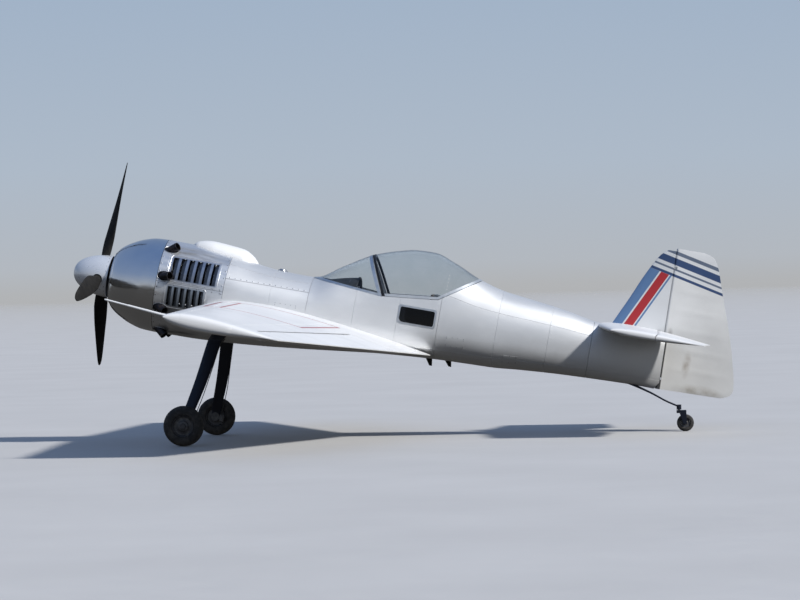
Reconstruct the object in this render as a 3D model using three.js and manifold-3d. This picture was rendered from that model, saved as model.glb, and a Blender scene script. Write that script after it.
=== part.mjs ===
// Single-engine aerobatic monoplane with a nine-cylinder radial engine, parked on its tail wheel.
// Millimetres. The airframe is drawn level: +X aft from the propeller disc, -Y port, +Z up from the
// thrust line. It is then tilted nose up about Y until all three wheels stand on Z = 0.
import * as THREE from "three";
import { mergeVertices } from "three/addons/utils/BufferGeometryUtils.js";
import Module from "manifold-3d";

const wasm = await Module();
wasm.setup();

// Stance
const PARKED_ANGLE = THREE.MathUtils.degToRad(11.1);
const THRUST_LINE_HEIGHT = 1755;
const MAIN_WHEEL = { x: 1017, y: 1175, radius: 205, width: 140, rim: 108, axle: 20 };
const TAIL_WHEEL = { x: 6070, radius: 88, width: 58, rim: 46, axle: 8 };
const TAIL_PIVOT_X = 6007;

// Clearances
const SEAT_GAP = 0.3;
const RUNNING_GAP = 6;

// A length past the whole aircraft, for cutting slabs
const FAR = 9000;

// Outer shape of the whole body, cowl to tail: one row for each station
const BODY_COLUMNS = ["x", "top", "bottom", "half", "wide", "power"];
const BODY = [
  [600, 489, -488, 489, 0, 2],
  [980, 484, -487, 487, 0, 2],
  [1360, 440, -473, 474, -5, 2.05],
  [1840, 370, -437, 452, -15, 2.15],
  [2180, 361, -402, 434, -15, 2.2],
  [2240, 366, -396, 431, -15, 2.2],
  [2500, 522, -366, 419, -10, 2.2],
  [2790, 692, -332, 405, -5, 2.2],
  [3030, 776, -306, 393, 0, 2.2],
  [3260, 824, -288, 383, 5, 2.2],
  [3420, 828, -277, 374, 10, 2.2],
  [3660, 752, -264, 361, 20, 2.2],
  [3965, 620, -255, 342, 30, 2.25],
  [4200, 556, -249, 323, 40, 2.3],
  [4500, 516, -224, 295, 50, 2.3],
  [4870, 464, -200, 252, 60, 2.3],
  [5190, 405, -187, 204, 70, 2.3],
  [5500, 382, -178, 150, 75, 2.3],
  [5700, 376, -174, 112, 80, 2.3],
  [5990, 370, -180, 50, 80, 2.3],
];
const RING_POINTS = 24;
const WALL = 25;
const SKIN = 12;
const GLASS = 6;
const BOW_WALL = 20;

// Body joints between panels, along X
const COWL_SEAM = 660;
const FIREWALL = 1360;
const DECK_FLOOR = 200;
const TUB_END = 3600;
const TAILCONE_START = 5180;

// Cowl: dome profile as [x, radius], lip first
const COWL_LIP = 262;
const DOME = [
  [142, 268], [152, 292], [195, 338], [280, 394], [400, 449], [530, 482], [657, 489],
];
const COWL_SPLIT_Z = 58;
const LOUVRES = [
  { first: 790, pitch: 84, count: 6, width: 56, low: 98, high: 322 },
  { first: 792, pitch: 66, count: 6, width: 44, low: -172, high: 24 },
];
const STUB_ANGLES = [36, 76, 116, 156];
const STUB = { startX: 560, startR: 330, endX: 800, endR: 543, radius: 44, bore: 37 };

// Propeller and engine
const SPINNER = { tip: -290, base: 100, radius: 220, wall: 8 };
const SHAFT = { radius: 38, clearance: 0.6, sides: 32 };
const BLADE_AT = [-19.4, 100.6, 220.6];
// Blade stations: distance from the shaft's middle, chord, thickness, pitch in degrees
const BLADE = [
  [70, 84, 84, 90],
  [190, 86, 80, 72],
  [300, 132, 52, 52],
  [420, 172, 36, 42],
  [620, 182, 26, 32],
  [830, 166, 19, 25],
  [1030, 138, 14, 20],
  [1180, 104, 10, 17],
  [1255, 70, 8, 16],
  [1283, 30, 6, 16],
];
const BLADE_POINTS = 8;
const ENGINE = { front: 300, back: 720, radius: 205, cylinder: 88, cylinderX: 500, reach: 418, count: 9 };

// Canopy and windscreen planes, drawn on the side view as lines through two points [x, z]
const SILL = { from: [2232, 358], to: [2980, 290] };
const SILL_AFT = { from: [2980, 290], to: [3560, 350] };
const BOW = { from: [2790, 692], to: [2980, 290], band: 32, foot: 22 };
const CANOPY_REAR = { from: [3560, 350], to: [3965, 620], band: 26 };
const SIDE_WINDOW = { from: 3190, to: 3560, low: 62, high: 232, corner: 40 };

// Wing, tailplane, fin
const WING = {
  tipY: 3830, rootY: 300,
  rootLead: 1180, rootTrail: 3575, rootZ: -150, rootThick: 0.15,
  tipLead: 1310, tipTrail: 2400, tipZ: -172, tipThick: 0.13,
  incidence: THREE.MathUtils.degToRad(1.75),
};
const AILERON = { from: 1150, to: 3640, chordShare: 0.77, travel: 25 };
const STABILISER = {
  tipY: 1480, z: 372, rootLead: 5205, rootTrail: 6430, rootThick: 0.1,
  tipLead: 5375, tipTrail: 6310, tipThick: 0.085, hingeX: 5862, travel: 25,
};
// Fin stations: height, leading edge
const FIN = [
  [320, 5312], [487, 5388], [724, 5498], [941, 5592], [1120, 5684], [1215, 5746], [1262, 5806],
];
// Rudder stations: height, trailing edge
const RUDDER = [
  [-172, 6520], [-155, 6600], [-120, 6672], [-70, 6702], [271, 6636], [937, 6417], [1200, 6322], [1262, 6272],
  [1292, 6170],
];
const RUDDER_HINGE = { low: [5940, -172], high: [5910, 1292], halfLow: 36, halfHigh: 24, travel: 27 };

const FINISH = {
  polished: { color: 0xc9ced6, roughness: 0.16, metalness: 1 },
  silver: { color: 0xdadcde, roughness: 0.35, metalness: 0.55 },
  dark: { color: 0x1b1d22, roughness: 0.5, metalness: 0.3 },
  rubber: { color: 0x151515, roughness: 0.85, metalness: 0 },
  glass: { color: 0x8f9aa3, roughness: 0.05, metalness: 0, transparent: true, opacity: 0.35 },
  interior: { color: 0x3a3d40, roughness: 0.8, metalness: 0 },
  leather: { color: 0x2b2622, roughness: 0.75, metalness: 0 },
  steel: { color: 0xb9bcc0, roughness: 0.3, metalness: 0.9 },
};

// Solids

function toSolid(geometry) {
  const bare = geometry.index ? geometry.toNonIndexed() : geometry.clone();
  bare.deleteAttribute("normal");
  bare.deleteAttribute("uv");
  const merged = mergeVertices(bare, 1e-3);
  const corners = merged.index.array;
  const kept = [];
  for (let i = 0; i < corners.length; i += 3) {
    const [a, b, c] = [corners[i], corners[i + 1], corners[i + 2]];
    if (a !== b && b !== c && c !== a) kept.push(a, b, c);
  }
  const mesh = new wasm.Mesh({
    numProp: 3,
    vertProperties: merged.attributes.position.array,
    triVerts: new Uint32Array(kept),
  });
  return new wasm.Manifold(mesh);
}

function toGeometry(solid) {
  const mesh = solid.getMesh();
  const geometry = new THREE.BufferGeometry();
  geometry.setAttribute("position", new THREE.BufferAttribute(new Float32Array(mesh.vertProperties), 3));
  geometry.setIndex(new THREE.BufferAttribute(new Uint32Array(mesh.triVerts), 1));
  const flat = geometry.toNonIndexed();
  flat.computeVertexNormals();
  return flat;
}

// A closed skin over rings of points that all have the same count, with flat ends.
function loft(rings) {
  const count = rings[0].length;
  const points = rings.flat();
  const faces = [];
  for (let k = 0; k + 1 < rings.length; k += 1) {
    for (let i = 0; i < count; i += 1) {
      const a = k * count + i;
      const b = k * count + ((i + 1) % count);
      const port = points[a].y + points[b].y + points[a + count].y + points[b + count].y < 0;
      if (port) faces.push(a, b, a + count, b, b + count, a + count);
      else faces.push(a, b, b + count, a, b + count, a + count);
    }
  }
  for (const [ring, flip] of [[rings[0], true], [rings.at(-1), false]]) {
    const start = flip ? 0 : (rings.length - 1) * count;
    const centre = ring.reduce((sum, p) => sum.add(p), new THREE.Vector3()).divideScalar(count);
    const middle = points.push(centre) - 1;
    for (let i = 0; i < count; i += 1) {
      const a = start + i;
      const b = start + ((i + 1) % count);
      faces.push(...(flip ? [middle, b, a] : [middle, a, b]));
    }
  }
  const geometry = new THREE.BufferGeometry().setFromPoints(points);
  geometry.setIndex(faces);
  const made = toSolid(geometry);
  if (made.volume() > 0) return made;
  for (let i = 0; i < faces.length; i += 3) [faces[i + 1], faces[i + 2]] = [faces[i + 2], faces[i + 1]];
  geometry.setIndex(faces);
  return toSolid(geometry);
}

function box(x0, x1, y0, y1, z0, z1) {
  const geometry = new THREE.BoxGeometry(x1 - x0, y1 - y0, z1 - z0);
  return toSolid(geometry.translate((x0 + x1) / 2, (y0 + y1) / 2, (z0 + z1) / 2));
}

// A round bar from one point to another, which may taper.
function bar(from, to, radiusFrom, radiusTo = radiusFrom, sides = 8) {
  const start = new THREE.Vector3(...from);
  const end = new THREE.Vector3(...to);
  const along = end.clone().sub(start);
  const geometry = new THREE.CylinderGeometry(radiusTo, radiusFrom, along.length(), sides);
  const up = new THREE.Vector3(0, 1, 0);
  const turn = new THREE.Quaternion().setFromUnitVectors(up, along.clone().normalize());
  geometry.applyQuaternion(turn);
  const middle = start.add(end).divideScalar(2);
  return toSolid(geometry.translate(middle.x, middle.y, middle.z));
}

// A profile of [x, radius] points turned about the X axis. It closes on itself or on the axis.
function turned(profile, sides) {
  const points = profile.map(([x, r]) => new THREE.Vector2(r, x));
  const geometry = new THREE.LatheGeometry(points, sides).rotateZ(-Math.PI / 2);
  const made = toSolid(geometry);
  if (made.volume() > 0) return made;
  const reversed = new THREE.LatheGeometry(points.reverse(), sides).rotateZ(-Math.PI / 2);
  return toSolid(reversed);
}

// A profile of [y, radius] points turned about an axle along Y through a place.
function turnedOnAxle(profile, sides, [x, y, z]) {
  const points = profile.map(([across, r]) => new THREE.Vector2(r, across));
  const made = toSolid(new THREE.LatheGeometry(points, sides).translate(x, y, z));
  if (made.volume() > 0) return made;
  return toSolid(new THREE.LatheGeometry(points.reverse(), sides).translate(x, y, z));
}

// An outline of [x, z] points, extruded along Y.
function slabXZ(outline, y0, y1) {
  const shape = new THREE.Shape(outline.map(([x, z]) => new THREE.Vector2(x, z)));
  const geometry = new THREE.ExtrudeGeometry(shape, { depth: y1 - y0, bevelEnabled: false });
  return toSolid(geometry.rotateX(Math.PI / 2).translate(0, y1, 0));
}

function joined(solids) {
  return solids.reduce((sum, next) => sum.add(next));
}

function mirrored(solid) {
  const geometry = toGeometry(solid).scale(1, -1, 1);
  const position = geometry.getAttribute("position");
  for (let i = 0; i < position.count; i += 3) {
    const b = new THREE.Vector3().fromBufferAttribute(position, i + 1);
    const c = new THREE.Vector3().fromBufferAttribute(position, i + 2);
    position.setXYZ(i + 1, c.x, c.y, c.z);
    position.setXYZ(i + 2, b.x, b.y, b.z);
  }
  return toSolid(geometry);
}

// Interpolation

// A smooth curve through table rows that never overshoots them, for one column.
function through(rows, column, x) {
  const last = rows.length - 1;
  let k = 0;
  while (k < last - 1 && x > rows[k + 1][0]) k += 1;
  const slope = (i) => (rows[i + 1][column] - rows[i][column]) / (rows[i + 1][0] - rows[i][0]);
  const tangent = (i) => {
    if (i === 0) return slope(0);
    if (i === last) return slope(last - 1);
    const [a, b] = [slope(i - 1), slope(i)];
    return a * b <= 0 ? 0 : (2 * a * b) / (a + b);
  };
  const width = rows[k + 1][0] - rows[k][0];
  const t = THREE.MathUtils.clamp((x - rows[k][0]) / width, 0, 1);
  const [p, q] = [rows[k][column], rows[k + 1][column]];
  const [m, n] = [tangent(k) * width, tangent(k + 1) * width];
  const t2 = t * t;
  const t3 = t2 * t;
  return (2 * t3 - 3 * t2 + 1) * p + (t3 - 2 * t2 + t) * m + (3 * t2 - 2 * t3) * q + (t3 - t2) * n;
}

function bodyAt(x) {
  const row = { x };
  for (let column = 1; column < BODY_COLUMNS.length; column += 1) {
    row[BODY_COLUMNS[column]] = through(BODY, column, x);
  }
  return row;
}

function superellipse(a, power) {
  const round = (v) => Math.sign(v) * Math.abs(v) ** (2 / power);
  return [round(Math.cos(a)), round(Math.sin(a))];
}

// The body's section at x, its wall drawn in by an inset.
function bodyRing(x, inset) {
  const s = bodyAt(x);
  return Array.from({ length: RING_POINTS }, (_, i) => {
    const [across, up] = superellipse((2 * Math.PI * i) / RING_POINTS, s.power);
    const rise = up >= 0 ? s.top - inset - s.wide : s.wide - s.bottom - inset;
    return new THREE.Vector3(x, across * (s.half - inset), s.wide + up * rise);
  });
}

// The body between two stations as a solid.
function body(from, to, inset = 0, steps = 1) {
  const stations = [from];
  for (let k = 0; k + 1 < BODY.length; k += 1) {
    for (let i = 0; i < steps; i += 1) {
      const x = THREE.MathUtils.lerp(BODY[k][0], BODY[k + 1][0], i / steps);
      if (x > from + 20 && x < to - 20) stations.push(x);
    }
  }
  stations.push(to);
  return loft(stations.map((x) => bodyRing(x, inset)));
}

// The half space on the left of a line drawn from one [x, z] point to another, as a large slab.
function leftOf({ from, to }, shift = 0) {
  const direction = new THREE.Vector2(to[0] - from[0], to[1] - from[1]).normalize();
  const left = new THREE.Vector2(-direction.y, direction.x);
  const start = new THREE.Vector2(...from).addScaledVector(left, shift);
  const corner = (along, across) => {
    const p = start.clone().addScaledVector(direction, along).addScaledVector(left, across);
    return [p.x, p.y];
  };
  return slabXZ([corner(-FAR, 0), corner(FAR, 0), corner(FAR, FAR), corner(-FAR, FAR)], -FAR, FAR);
}

// Parts are collected as { name, solid, finish, frame }

const parts = [];

function add(name, solid, finish, frame = "airframe") {
  parts.push({ name, solid, finish, frame });
}

function addPair(name, portSolid, finish, frame = "airframe") {
  add(`${name}_left`, portSolid, finish, frame);
  add(`${name}_right`, mirrored(portSolid), finish, frame);
}

// A point of the parked frame, whose X is measured from the propeller disc, in the level frame.
function toLevel([x, y, z]) {
  const [c, s] = [Math.cos(PARKED_ANGLE), Math.sin(PARKED_ANGLE)];
  const drop = z - THRUST_LINE_HEIGHT;
  return [x * c - drop * s, y, x * s + drop * c];
}

// Cowl and engine

function onCircle(x, radius, angle) {
  const a = THREE.MathUtils.degToRad(angle);
  return [x, -radius * Math.sin(a), radius * Math.cos(a)];
}

function stub(angle, radius) {
  const from = onCircle(STUB.startX, STUB.startR, angle);
  const to = onCircle(STUB.endX, STUB.endR, angle);
  return bar(from, to, radius, radius);
}

function stubs(radius) {
  return STUB_ANGLES.flatMap((angle) => [stub(angle, radius), stub(-angle, radius)]);
}

function makeCowl() {
  const inner = DOME.map(([x, r]) => [x + SKIN, r - SKIN]).reverse();
  inner[0][0] = DOME.at(-1)[0];
  const profile = [...DOME, ...inner, [DOME[0][0] + 4, COWL_LIP], DOME[0]];
  add("cowl_nose_ring", turned(profile, 28), FINISH.polished);

  const shell = body(COWL_SEAM, FIREWALL - SEAT_GAP).subtract(body(COWL_SEAM - 60, FIREWALL + 60, SKIN));
  const holes = joined(stubs(STUB.radius + RUNNING_GAP));
  const slots = LOUVRES.flatMap(({ first, pitch, count, width, low, high }) =>
    Array.from({ length: count }, (_, i) => first + i * pitch).flatMap((x) => [
      box(x, x + width, -600, -300, low, high),
      box(x, x + width, 300, 600, low, high),
    ]),
  );
  const open = shell.subtract(holes).subtract(joined(slots));
  add("cowl_upper_panel", open.intersect(box(0, FAR, -FAR, FAR, COWL_SPLIT_Z, FAR)), FINISH.polished);
  const lowerPort = box(0, FAR, -FAR, -SEAT_GAP / 2, -FAR, COWL_SPLIT_Z - SEAT_GAP);
  addPair("cowl_lower_panel", open.intersect(lowerPort), FINISH.polished);
}

function makeEngine() {
  const pieces = [
    bar([ENGINE.front, 0, 0], [ENGINE.back, 0, 0], ENGINE.radius, ENGINE.radius, 16),
    bar([190, 0, 0], [ENGINE.front + 1, 0, 0], 96, 150, 12),
    bar([20, 0, 0], [200, 0, 0], SHAFT.radius, SHAFT.radius, SHAFT.sides),
    bar([ENGINE.back - 1, 0, 0], [FIREWALL - SEAT_GAP, 0, 0], 170, 150, 12),
  ];
  for (let i = 0; i < ENGINE.count; i += 1) {
    const angle = (360 * i) / ENGINE.count;
    const foot = onCircle(ENGINE.cylinderX, ENGINE.radius - 30, angle);
    const head = onCircle(ENGINE.cylinderX, ENGINE.reach, angle);
    pieces.push(bar(foot, head, ENGINE.cylinder * 0.8, ENGINE.cylinder * 0.72, 6));
  }
  const pipes = joined(stubs(STUB.radius)).subtract(joined(boreEnds()));
  add("radial_engine", joined(pieces).add(pipes), FINISH.dark);
}

// The open end of each exhaust stub.
function boreEnds() {
  const depth = 0.45;
  const x = THREE.MathUtils.lerp(STUB.startX, STUB.endX, depth);
  const r = THREE.MathUtils.lerp(STUB.startR, STUB.endR, depth);
  const beyond = 1.2;
  const outX = THREE.MathUtils.lerp(STUB.startX, STUB.endX, beyond);
  const outR = THREE.MathUtils.lerp(STUB.startR, STUB.endR, beyond);
  return STUB_ANGLES.flatMap((angle) => [angle, -angle]).map((angle) =>
    bar(onCircle(x, r, angle), onCircle(outX, outR, angle), STUB.bore),
  );
}

function makeFirewall() {
  const plate = box(FIREWALL, FIREWALL + 20, -600, 600, -600, 600).intersect(hollow(WALL + SEAT_GAP));
  add("firewall", plate, FINISH.steel);
}

// Blister on top of cowl and deck: x, rise over the body, half width
const BLISTER = [
  [915, 4, 20], [960, 40, 95], [1150, 82, 140], [1450, 96, 130], [1560, 60, 95], [1620, 6, 20],
];

function makeBlister() {
  const points = 16;
  const buried = 30;
  const rings = BLISTER.map(([x, rise, half]) => {
    const middle = bodyAt(x).top - buried;
    return Array.from({ length: points }, (_, i) => {
      const a = (2 * Math.PI * i) / points;
      return new THREE.Vector3(x, half * Math.cos(a), middle + (rise + buried) * Math.sin(a));
    });
  });
  add("top_blister", loft(rings).subtract(body(700, 1900, -SEAT_GAP)), FINISH.silver);
}

// Body shell

// The space inside the body's wall from the firewall to the end of the cockpit.
function hollow(inset = WALL) {
  return body(FIREWALL - 60, TUB_END + 60, inset);
}

// Everything above the two sill lines and behind them the canopy's sloping rear edge.
function aboveRim(shift = 0) {
  return leftOf(SILL, shift).intersect(leftOf(SILL_AFT, shift)).intersect(leftOf(CANOPY_REAR, shift));
}

const FUEL_CAP = { x: 1885, low: 352, high: 387, radius: 50 };
const AERIAL = { half: 5, chord: 70, tipChord: 30, sweep: 30, buried: 8 };

// A swept blade aerial that stands down from the belly.
function aerial(x, height) {
  const foot = bodyAt(x).bottom;
  const tip = x + AERIAL.sweep;
  const outline = [
    [x - AERIAL.chord / 2, foot + AERIAL.buried], [x + AERIAL.chord / 2, foot + AERIAL.buried],
    [tip + AERIAL.tipChord / 2, foot - height], [tip - AERIAL.tipChord / 2, foot - height],
  ];
  return slabXZ(outline, -AERIAL.half, AERIAL.half);
}

function makeFuselage() {
  const shell = body(FIREWALL, TUB_END - SEAT_GAP).subtract(hollow());
  const split = SILL.from[0];
  const deck = shell.intersect(box(0, split, -FAR, FAR, DECK_FLOOR, FAR));
  const { x, low, high, radius } = FUEL_CAP;
  add("forward_deck", deck.add(bar([x, 0, low], [x, 0, high], radius, radius, 20)), FINISH.silver);
  const bay = shell.intersect(box(0, split, -FAR, FAR, -FAR, DECK_FLOOR - SEAT_GAP));
  add("fuselage_forward", bay, FINISH.silver);
  const tub = shell.intersect(box(split + SEAT_GAP, FAR, -FAR, FAR, -FAR, FAR))
    .subtract(aboveRim())
    .subtract(windowSlab(-FAR, FAR, 0))
    .add(canopyHinge().fixed)
    .add(aerial(3545, 71));
  add("fuselage_center", tub, FINISH.silver);

  const below = leftOf({ from: CANOPY_REAR.to, to: CANOPY_REAR.from });
  const rear = body(TUB_END, TAILCONE_START - SEAT_GAP).intersect(below).add(aerial(3745, 56));
  add("rear_fuselage", rear, FINISH.silver);
}

function windowSlab(y0, y1, grow) {
  const { from, to, low, high, corner } = SIDE_WINDOW;
  const [x0, x1, z0, z1] = [from - grow, to + grow, low - grow, high + grow];
  const cut = corner / 2;
  const outline = [
    [x0 + corner, z0], [x1 - cut, z0], [x1, z0 + cut], [x1, z1 - cut], [x1 - cut, z1],
    [x0 + cut, z1], [x0, z1 - cut], [x0, z0 + corner],
  ];
  return slabXZ(outline, y0, y1);
}

function makeSideWindows() {
  const shell = body(3000, 3700, 4).subtract(body(2900, 3800, 4 + GLASS));
  const port = shell.intersect(windowSlab(-1000, 0, -SEAT_GAP));
  addPair("side_window", port, FINISH.glass);
}

// Windscreen and canopy

function makeGlasshouse() {
  const gap = RUNNING_GAP;
  const outer = body(2190, 4100);
  const glassShell = outer.subtract(body(2100, 4200, GLASS));
  const thickShell = outer.subtract(body(2100, 4200, BOW_WALL));
  const aheadOfBow = (shift) => leftOf({ from: BOW.to, to: BOW.from }, shift);
  const behindBow = (shift) => leftOf({ from: BOW.from, to: BOW.to }, shift);
  const behindDeck = box(SILL.from[0] + SEAT_GAP, FAR, -FAR, FAR, -FAR, FAR);
  const front = aboveRim(SEAT_GAP).intersect(behindDeck).intersect(aheadOfBow(0));
  const pane = (shift) => aboveRim(BOW.foot + shift).intersect(aheadOfBow(BOW.band + shift));
  add("windscreen_bow", thickShell.intersect(front).subtract(pane(0)), FINISH.silver);
  add("windscreen_glass", glassShell.intersect(behindDeck).intersect(pane(SEAT_GAP)), FINISH.glass);

  const region = (shift) => aboveRim(gap + shift).intersect(behindBow(gap + shift));
  const band = CANOPY_REAR.band;
  const whole = region(0);
  const frame = thickShell.intersect(whole).subtract(region(band));
  const glass = glassShell.intersect(region(band + SEAT_GAP));
  return { frame, glass };
}

const CANOPY_HINGE = { from: [3000, 391, 288], to: [3540, 360, 344], at: [70, 460], radius: 11, pin: 5 };

// Two hinges outside the starboard sill: fixed knuckles with their pins, and the canopy's knuckles.
function canopyHinge() {
  const { from, to, at, radius, pin } = CANOPY_HINGE;
  const frame = hingeFrame({ from, to });
  const fixed = [];
  const moving = [];
  for (const u of at) {
    const place = (v) => alongHinge(frame, u + v);
    const [x, y, z] = place(0);
    fixed.push(bar(place(-12), place(12), radius));
    fixed.push(box(x - 11, x + 11, y - 34, y, z - 9, z + 1));
    fixed.push(bar(place(-36), place(36), pin));
    for (const side of [-1, 1]) {
      const [kx, ky, kz] = place(side * 26);
      const knuckle = bar(place(side * 18), place(side * 34), radius);
      const web = box(kx - 7.5, kx + 7.5, ky - 34, ky + 6, kz + 9, kz + 22);
      moving.push(knuckle.add(web).subtract(bar(place(side * 10), place(side * 42), pin + 0.7)));
    }
  }
  return { fixed: joined(fixed), moving: joined(moving) };
}

function makeCanopy() {
  const { frame, glass } = makeGlasshouse();
  add("canopy_glass", glass, FINISH.glass);
  add("canopy_frame", frame.add(canopyHinge().moving), FINISH.silver);
}

// Control surface hinges

// The frame of a hinge line: u along it, a towards the trailing edge.
function hingeFrame(hinge) {
  const from = new THREE.Vector3(...hinge.from);
  const to = new THREE.Vector3(...hinge.to);
  const u = to.clone().sub(from).normalize();
  const n = new THREE.Vector3().crossVectors(new THREE.Vector3(1, 0, 0), u).normalize();
  const a = new THREE.Vector3().crossVectors(u, n).normalize();
  if (a.x < 0) a.negate();
  return { from, u, a, length: to.distanceTo(from) };
}

// A box in a hinge's frame: its spans along u and a, and how far it reaches to both sides of them.
function hingeBox(frame, [u0, u1], [a0, a1], reach) {
  const geometry = new THREE.BoxGeometry(u1 - u0, a1 - a0, 2 * reach);
  geometry.translate((u0 + u1) / 2, (a0 + a1) / 2, 0);
  const third = new THREE.Vector3().crossVectors(frame.u, frame.a);
  geometry.applyMatrix4(new THREE.Matrix4().makeBasis(frame.u, frame.a, third));
  geometry.translate(frame.from.x, frame.from.y, frame.from.z);
  return toSolid(geometry);
}

function alongHinge(frame, distance) {
  return frame.from.clone().addScaledVector(frame.u, distance).toArray();
}

const BRACKET = {
  width: 14, halfHeight: 9, root: 14, tail: 7, pin: 7, pinLength: 48,
  slot: 27, slotTail: 15, pinBore: 7.9,
};

// What a moving surface keeps of a whole surface: all behind the hinge line, and its round nose.
function movingPart(whole, hinge, span) {
  const frame = hingeFrame(hinge);
  const [u0, u1] = span;
  const half = (u) => THREE.MathUtils.lerp(hinge.halfFrom, hinge.halfTo, u / frame.length);
  const behind = hingeBox(frame, [u0, u1], [0, FAR], FAR);
  const nose = bar(alongHinge(frame, u0), alongHinge(frame, u1), half(u0), half(u1), 12);
  let made = whole.intersect(behind.add(nose));
  for (const at of hinge.brackets) {
    const reach = half(at) + 40;
    const across = [at - BRACKET.slot / 2, at + BRACKET.slot / 2];
    const slot = hingeBox(frame, across, [-reach, BRACKET.slotTail], reach);
    const bore = bar(
      alongHinge(frame, at - BRACKET.pinLength / 2 - 1),
      alongHinge(frame, at + BRACKET.pinLength / 2 + 1),
      BRACKET.pinBore,
    );
    made = made.subtract(slot).subtract(bore);
  }
  return made;
}

// What is left of the fixed surface: a round cove around the hinge line, with brackets and pins in it.
function fixedPart(whole, hinge, span) {
  const frame = hingeFrame(hinge);
  const [u0, u1] = [span[0] - RUNNING_GAP, span[1] + RUNNING_GAP];
  const widen = 1 / Math.cos(THREE.MathUtils.degToRad(hinge.travel));
  const half = (u) => THREE.MathUtils.lerp(hinge.halfFrom, hinge.halfTo, u / frame.length);
  const cove = (u) => half(u) * widen + RUNNING_GAP;
  const behind = hingeBox(frame, [u0, u1], [0, FAR], FAR);
  const round = bar(alongHinge(frame, u0), alongHinge(frame, u1), cove(u0), cove(u1), 12);
  let made = whole.subtract(behind).subtract(round);
  for (const at of hinge.brackets) {
    const across = [at - BRACKET.width / 2, at + BRACKET.width / 2];
    const arm = hingeBox(frame, across, [-cove(at) - BRACKET.root, BRACKET.tail], BRACKET.halfHeight);
    const pin = bar(
      alongHinge(frame, at - BRACKET.pinLength / 2),
      alongHinge(frame, at + BRACKET.pinLength / 2),
      BRACKET.pin,
    );
    made = made.add(arm).add(pin);
  }
  return made;
}

// Wing

// Half thickness of a symmetric aerofoil, as a share of its chord, at a share of the chord.
function aerofoil(share, thickness) {
  const s = share;
  const polynomial = 0.2969 * Math.sqrt(s) - 0.126 * s - 0.3516 * s ** 2 + 0.2843 * s ** 3 - 0.1015 * s ** 4;
  return 5 * thickness * polynomial;
}

const CHORD_SHARES = [1, 0.77, 0.55, 0.3, 0.13, 0.04, 0.008];
const TRAILING_EDGE = 4;

// A wing-like section at a span station: its points run from the trailing edge over the top.
function foilRing(y, lead, trail, z, thickness, incidence = 0) {
  const chord = trail - lead;
  const at = (share, side) => {
    const half = Math.max(aerofoil(share, thickness) * chord, TRAILING_EDGE);
    const x = share * chord;
    const up = side * half;
    return new THREE.Vector3(
      lead + x * Math.cos(incidence) + up * Math.sin(incidence),
      y,
      z - x * Math.sin(incidence) + up * Math.cos(incidence),
    );
  };
  const nose = new THREE.Vector3(lead, y, z);
  return [...CHORD_SHARES.map((s) => at(s, 1)), nose, ...CHORD_SHARES.map((s) => at(s, -1)).reverse()];
}

function wingRow(y) {
  const t = (y - WING.rootY) / (WING.tipY - WING.rootY);
  const mix = (a, b) => THREE.MathUtils.lerp(a, b, t);
  return {
    lead: mix(WING.rootLead, WING.tipLead),
    trail: mix(WING.rootTrail, WING.tipTrail),
    z: mix(WING.rootZ, WING.tipZ),
    thick: mix(WING.rootThick, WING.tipThick),
  };
}

function wingRing(y, shrink = 1) {
  const row = wingRow(Math.abs(y));
  return foilRing(y, row.lead, row.trail, row.z, row.thick * shrink, WING.incidence);
}

function wingPoint(y, share) {
  const row = wingRow(y);
  const x = share * (row.trail - row.lead);
  return [row.lead + x * Math.cos(WING.incidence), -y, row.z - x * Math.sin(WING.incidence)];
}

function aileronHinge() {
  const half = (y) => {
    const row = wingRow(y);
    return aerofoil(AILERON.chordShare, row.thick) * (row.trail - row.lead);
  };
  const from = wingPoint(AILERON.from, AILERON.chordShare);
  const to = wingPoint(AILERON.to, AILERON.chordShare);
  const length = new THREE.Vector3(...from).distanceTo(new THREE.Vector3(...to));
  const ends = 260;
  return {
    from, to, halfFrom: half(AILERON.from) * 0.98, halfTo: half(AILERON.to) * 0.98, travel: AILERON.travel,
    brackets: [ends, length - ends], length,
  };
}

const JACK_PAD = { x: 1900, y: 900, radius: 45, low: -352, high: -250 };

function wingWhole() {
  const stations = [[-WING.rootY, 1], [-(WING.tipY - 60), 1], [-(WING.tipY - 18), 0.82], [-WING.tipY, 0.45]];
  return loft(stations.map(([y, shrink]) => wingRing(y, shrink)));
}

function makeWings() {
  const whole = wingWhole();
  const hinge = aileronHinge();
  const span = [0, hinge.length];
  const pad = bar(
    [JACK_PAD.x, -JACK_PAD.y, JACK_PAD.low],
    [JACK_PAD.x, -JACK_PAD.y, JACK_PAD.high],
    JACK_PAD.radius, JACK_PAD.radius, 20,
  );
  const clear = body(900, 4000, -SEAT_GAP);
  const wing = fixedPart(whole, hinge, span).add(pad).subtract(clear);
  addPair("wing", wing, FINISH.silver);
  addPair("aileron", movingPart(whole, hinge, span), FINISH.silver);
}

function makePitot() {
  const row = wingRow(3700);
  const root = [row.lead + 30, -3700, row.z + 8];
  const tip = [725, -3700, -110];
  const boom = bar(root, tip, 13, 9, 12);
  const whole = wingWhole();
  const clear = whole.translate(-SEAT_GAP, 0, 0).add(whole);
  add("pitot_boom", boom.subtract(clear), FINISH.steel);
}

// Tail

function stabiliserRing(y, shrink = 1) {
  const t = Math.abs(y) / STABILISER.tipY;
  const mix = (a, b) => THREE.MathUtils.lerp(a, b, t);
  return foilRing(
    y,
    mix(STABILISER.rootLead, STABILISER.tipLead),
    mix(STABILISER.rootTrail, STABILISER.tipTrail),
    STABILISER.z,
    mix(STABILISER.rootThick, STABILISER.tipThick) * shrink,
  );
}

const ELEVATOR = { inner: 62, cutAft: 1.07, tube: 15, tubeDepth: 70, brackets: [300, 1230] };

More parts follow.
